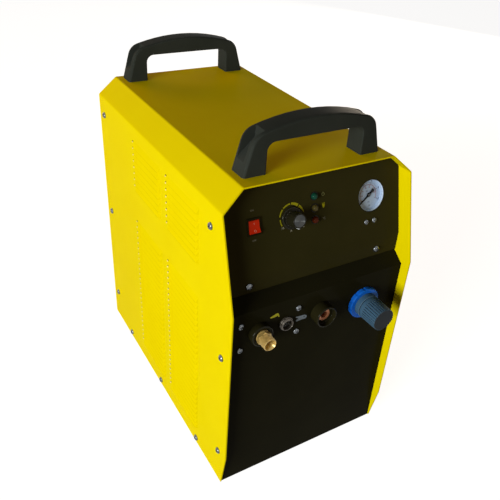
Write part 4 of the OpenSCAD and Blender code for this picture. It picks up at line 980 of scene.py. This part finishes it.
rim = spun("gauge_rim", [(18.6, -0.9), (18.9, -0.4), (19.3, -0.25), (19.65, -0.4), (19.68, -0.9), (19.5, -1.2)], 64)
smooth(rim, 35)
place_piece(settle(rim, GAUGE), ABS_BLACK, "housing")


# ---------- floor, light and camera ----------
SKY_LEVEL = 0.035
SKY_TINT = (1.0, 0.54, 0.26)
FLOOR_SIZE = 12
# The picture's side, the lens's length and its middle, all in picture points
PICTURE = 500
FOCUS = 603.88
MIDDLE = (261.59, 244.99)
SENSOR = 36


def seen_rays(tree_nodes, links):
    """One where the camera, a mirror or clear glass looks, nought for the light itself."""
    path = tree_nodes.new("ShaderNodeLightPath")
    total = path.outputs["Is Camera Ray"]
    for name in ("Is Glossy Ray", "Is Transmission Ray"):
        most = tree_nodes.new("ShaderNodeMath")
        most.operation = "MAXIMUM"
        links.new(total, most.inputs[0])
        links.new(path.outputs[name], most.inputs[1])
        total = most.outputs[0]
    return total


def backdrop():
    bpy.ops.mesh.primitive_plane_add(size=FLOOR_SIZE)
    floor = active()
    floor.name = "floor"
    mat, _ = new_material("pale_floor")
    seen = seen_rays(mat.node_tree.nodes, mat.node_tree.links)
    ground = add(mat, "ShaderNodeBsdfDiffuse", {"Color": (0.4, 0.4, 0.4, 1), "Roughness": 0.5})
    level = add(mat, "ShaderNodeMath", {1: 0.9}, {0: seen}, operation="MULTIPLY")
    white = add(mat, "ShaderNodeEmission", {"Color": (1, 1, 1, 1)}, {"Strength": level.outputs[0]})
    both = add(mat, "ShaderNodeAddShader", links={0: ground.outputs[0], 1: white.outputs[0]})
    finish_material(mat, both)
    paint(floor, mat)
    world = bpy.data.worlds.new("studio")
    bpy.context.scene.world = world
    world.use_nodes = True
    tree = world.node_tree
    sky = tree.nodes["Background"]
    blend = tree.nodes.new("ShaderNodeMix")
    blend.data_type = "RGBA"
    blend.inputs["A"].default_value = [SKY_LEVEL * c for c in SKY_TINT] + [1]
    blend.inputs["B"].default_value = (1, 1, 1, 1)
    tree.links.new(seen_rays(tree.nodes, tree.links), blend.inputs["Factor"])
    tree.links.new(blend.outputs["Result"], sky.inputs["Color"])


def soft_lamp(name, at, look_at, size, power, colour):
    """A rectangle of light: its place, aim and size in metres, its power in watts."""
    bpy.ops.object.light_add(type="AREA", location=at)
    lamp = active()
    lamp.name = name
    lamp.data.shape = "RECTANGLE"
    lamp.data.size, lamp.data.size_y = size
    lamp.data.energy = power
    lamp.data.color = colour
    lamp.rotation_euler = (Vector(look_at) - Vector(at)).to_track_quat("-Z", "Y").to_euler()


def camera():
    """The view from in front and to the left, from above: its place in millimetres from the nose on the floor."""
    yaw, pitch, roll = math.radians(32.879), math.radians(32.580), math.radians(4.238)
    spot = Vector((-369.99, NOSE_Y - 424.21, 691.90 + FOOT))
    ahead = Vector((math.sin(yaw) * math.cos(pitch), math.cos(yaw) * math.cos(pitch), -math.sin(pitch)))
    side = ahead.cross(Vector((0, 0, 1))).normalized()
    over = side.cross(ahead)
    right = math.cos(roll) * side + math.sin(roll) * over
    rise = -math.sin(roll) * side + math.cos(roll) * over
    bpy.ops.object.camera_add()
    cam = active()
    cam.name = "camera"
    turn = Matrix((right, rise, -ahead)).transposed()
    cam.matrix_world = Matrix.Translation(spot * MM) @ turn.to_4x4()
    cam.data.sensor_width = SENSOR
    cam.data.lens = FOCUS / PICTURE * SENSOR
    cam.data.shift_x = (PICTURE / 2 - MIDDLE[0]) / PICTURE
    cam.data.shift_y = (MIDDLE[1] - PICTURE / 2) / PICTURE
    bpy.context.scene.camera = cam


backdrop()
soft_lamp("key", (-2.42, -1.12, 0.78), (0, 0, 0.25), (1.2, 1.0), 67, (1.0, 1.0, 0.95))
soft_lamp("front_fill", (0.9, -2.6, 0.9), (0, 0, 0.25), (1.6, 1.0), 7, (1.0, 0.76, 0.48))
soft_lamp("rear_fill", (2.4, 1.3, 0.6), (0, 0, 0.25), (1.8, 0.9), 36, (1.0, 0.84, 0.64))
soft_lamp("top_fill", (-0.45, 1.25, 0.8), (-0.05, 0.2, 0.42), (0.9, 0.5), 5.2, (1.0, 0.52, 0.18))
camera()
bpy.context.scene.view_settings.view_transform = "Standard"
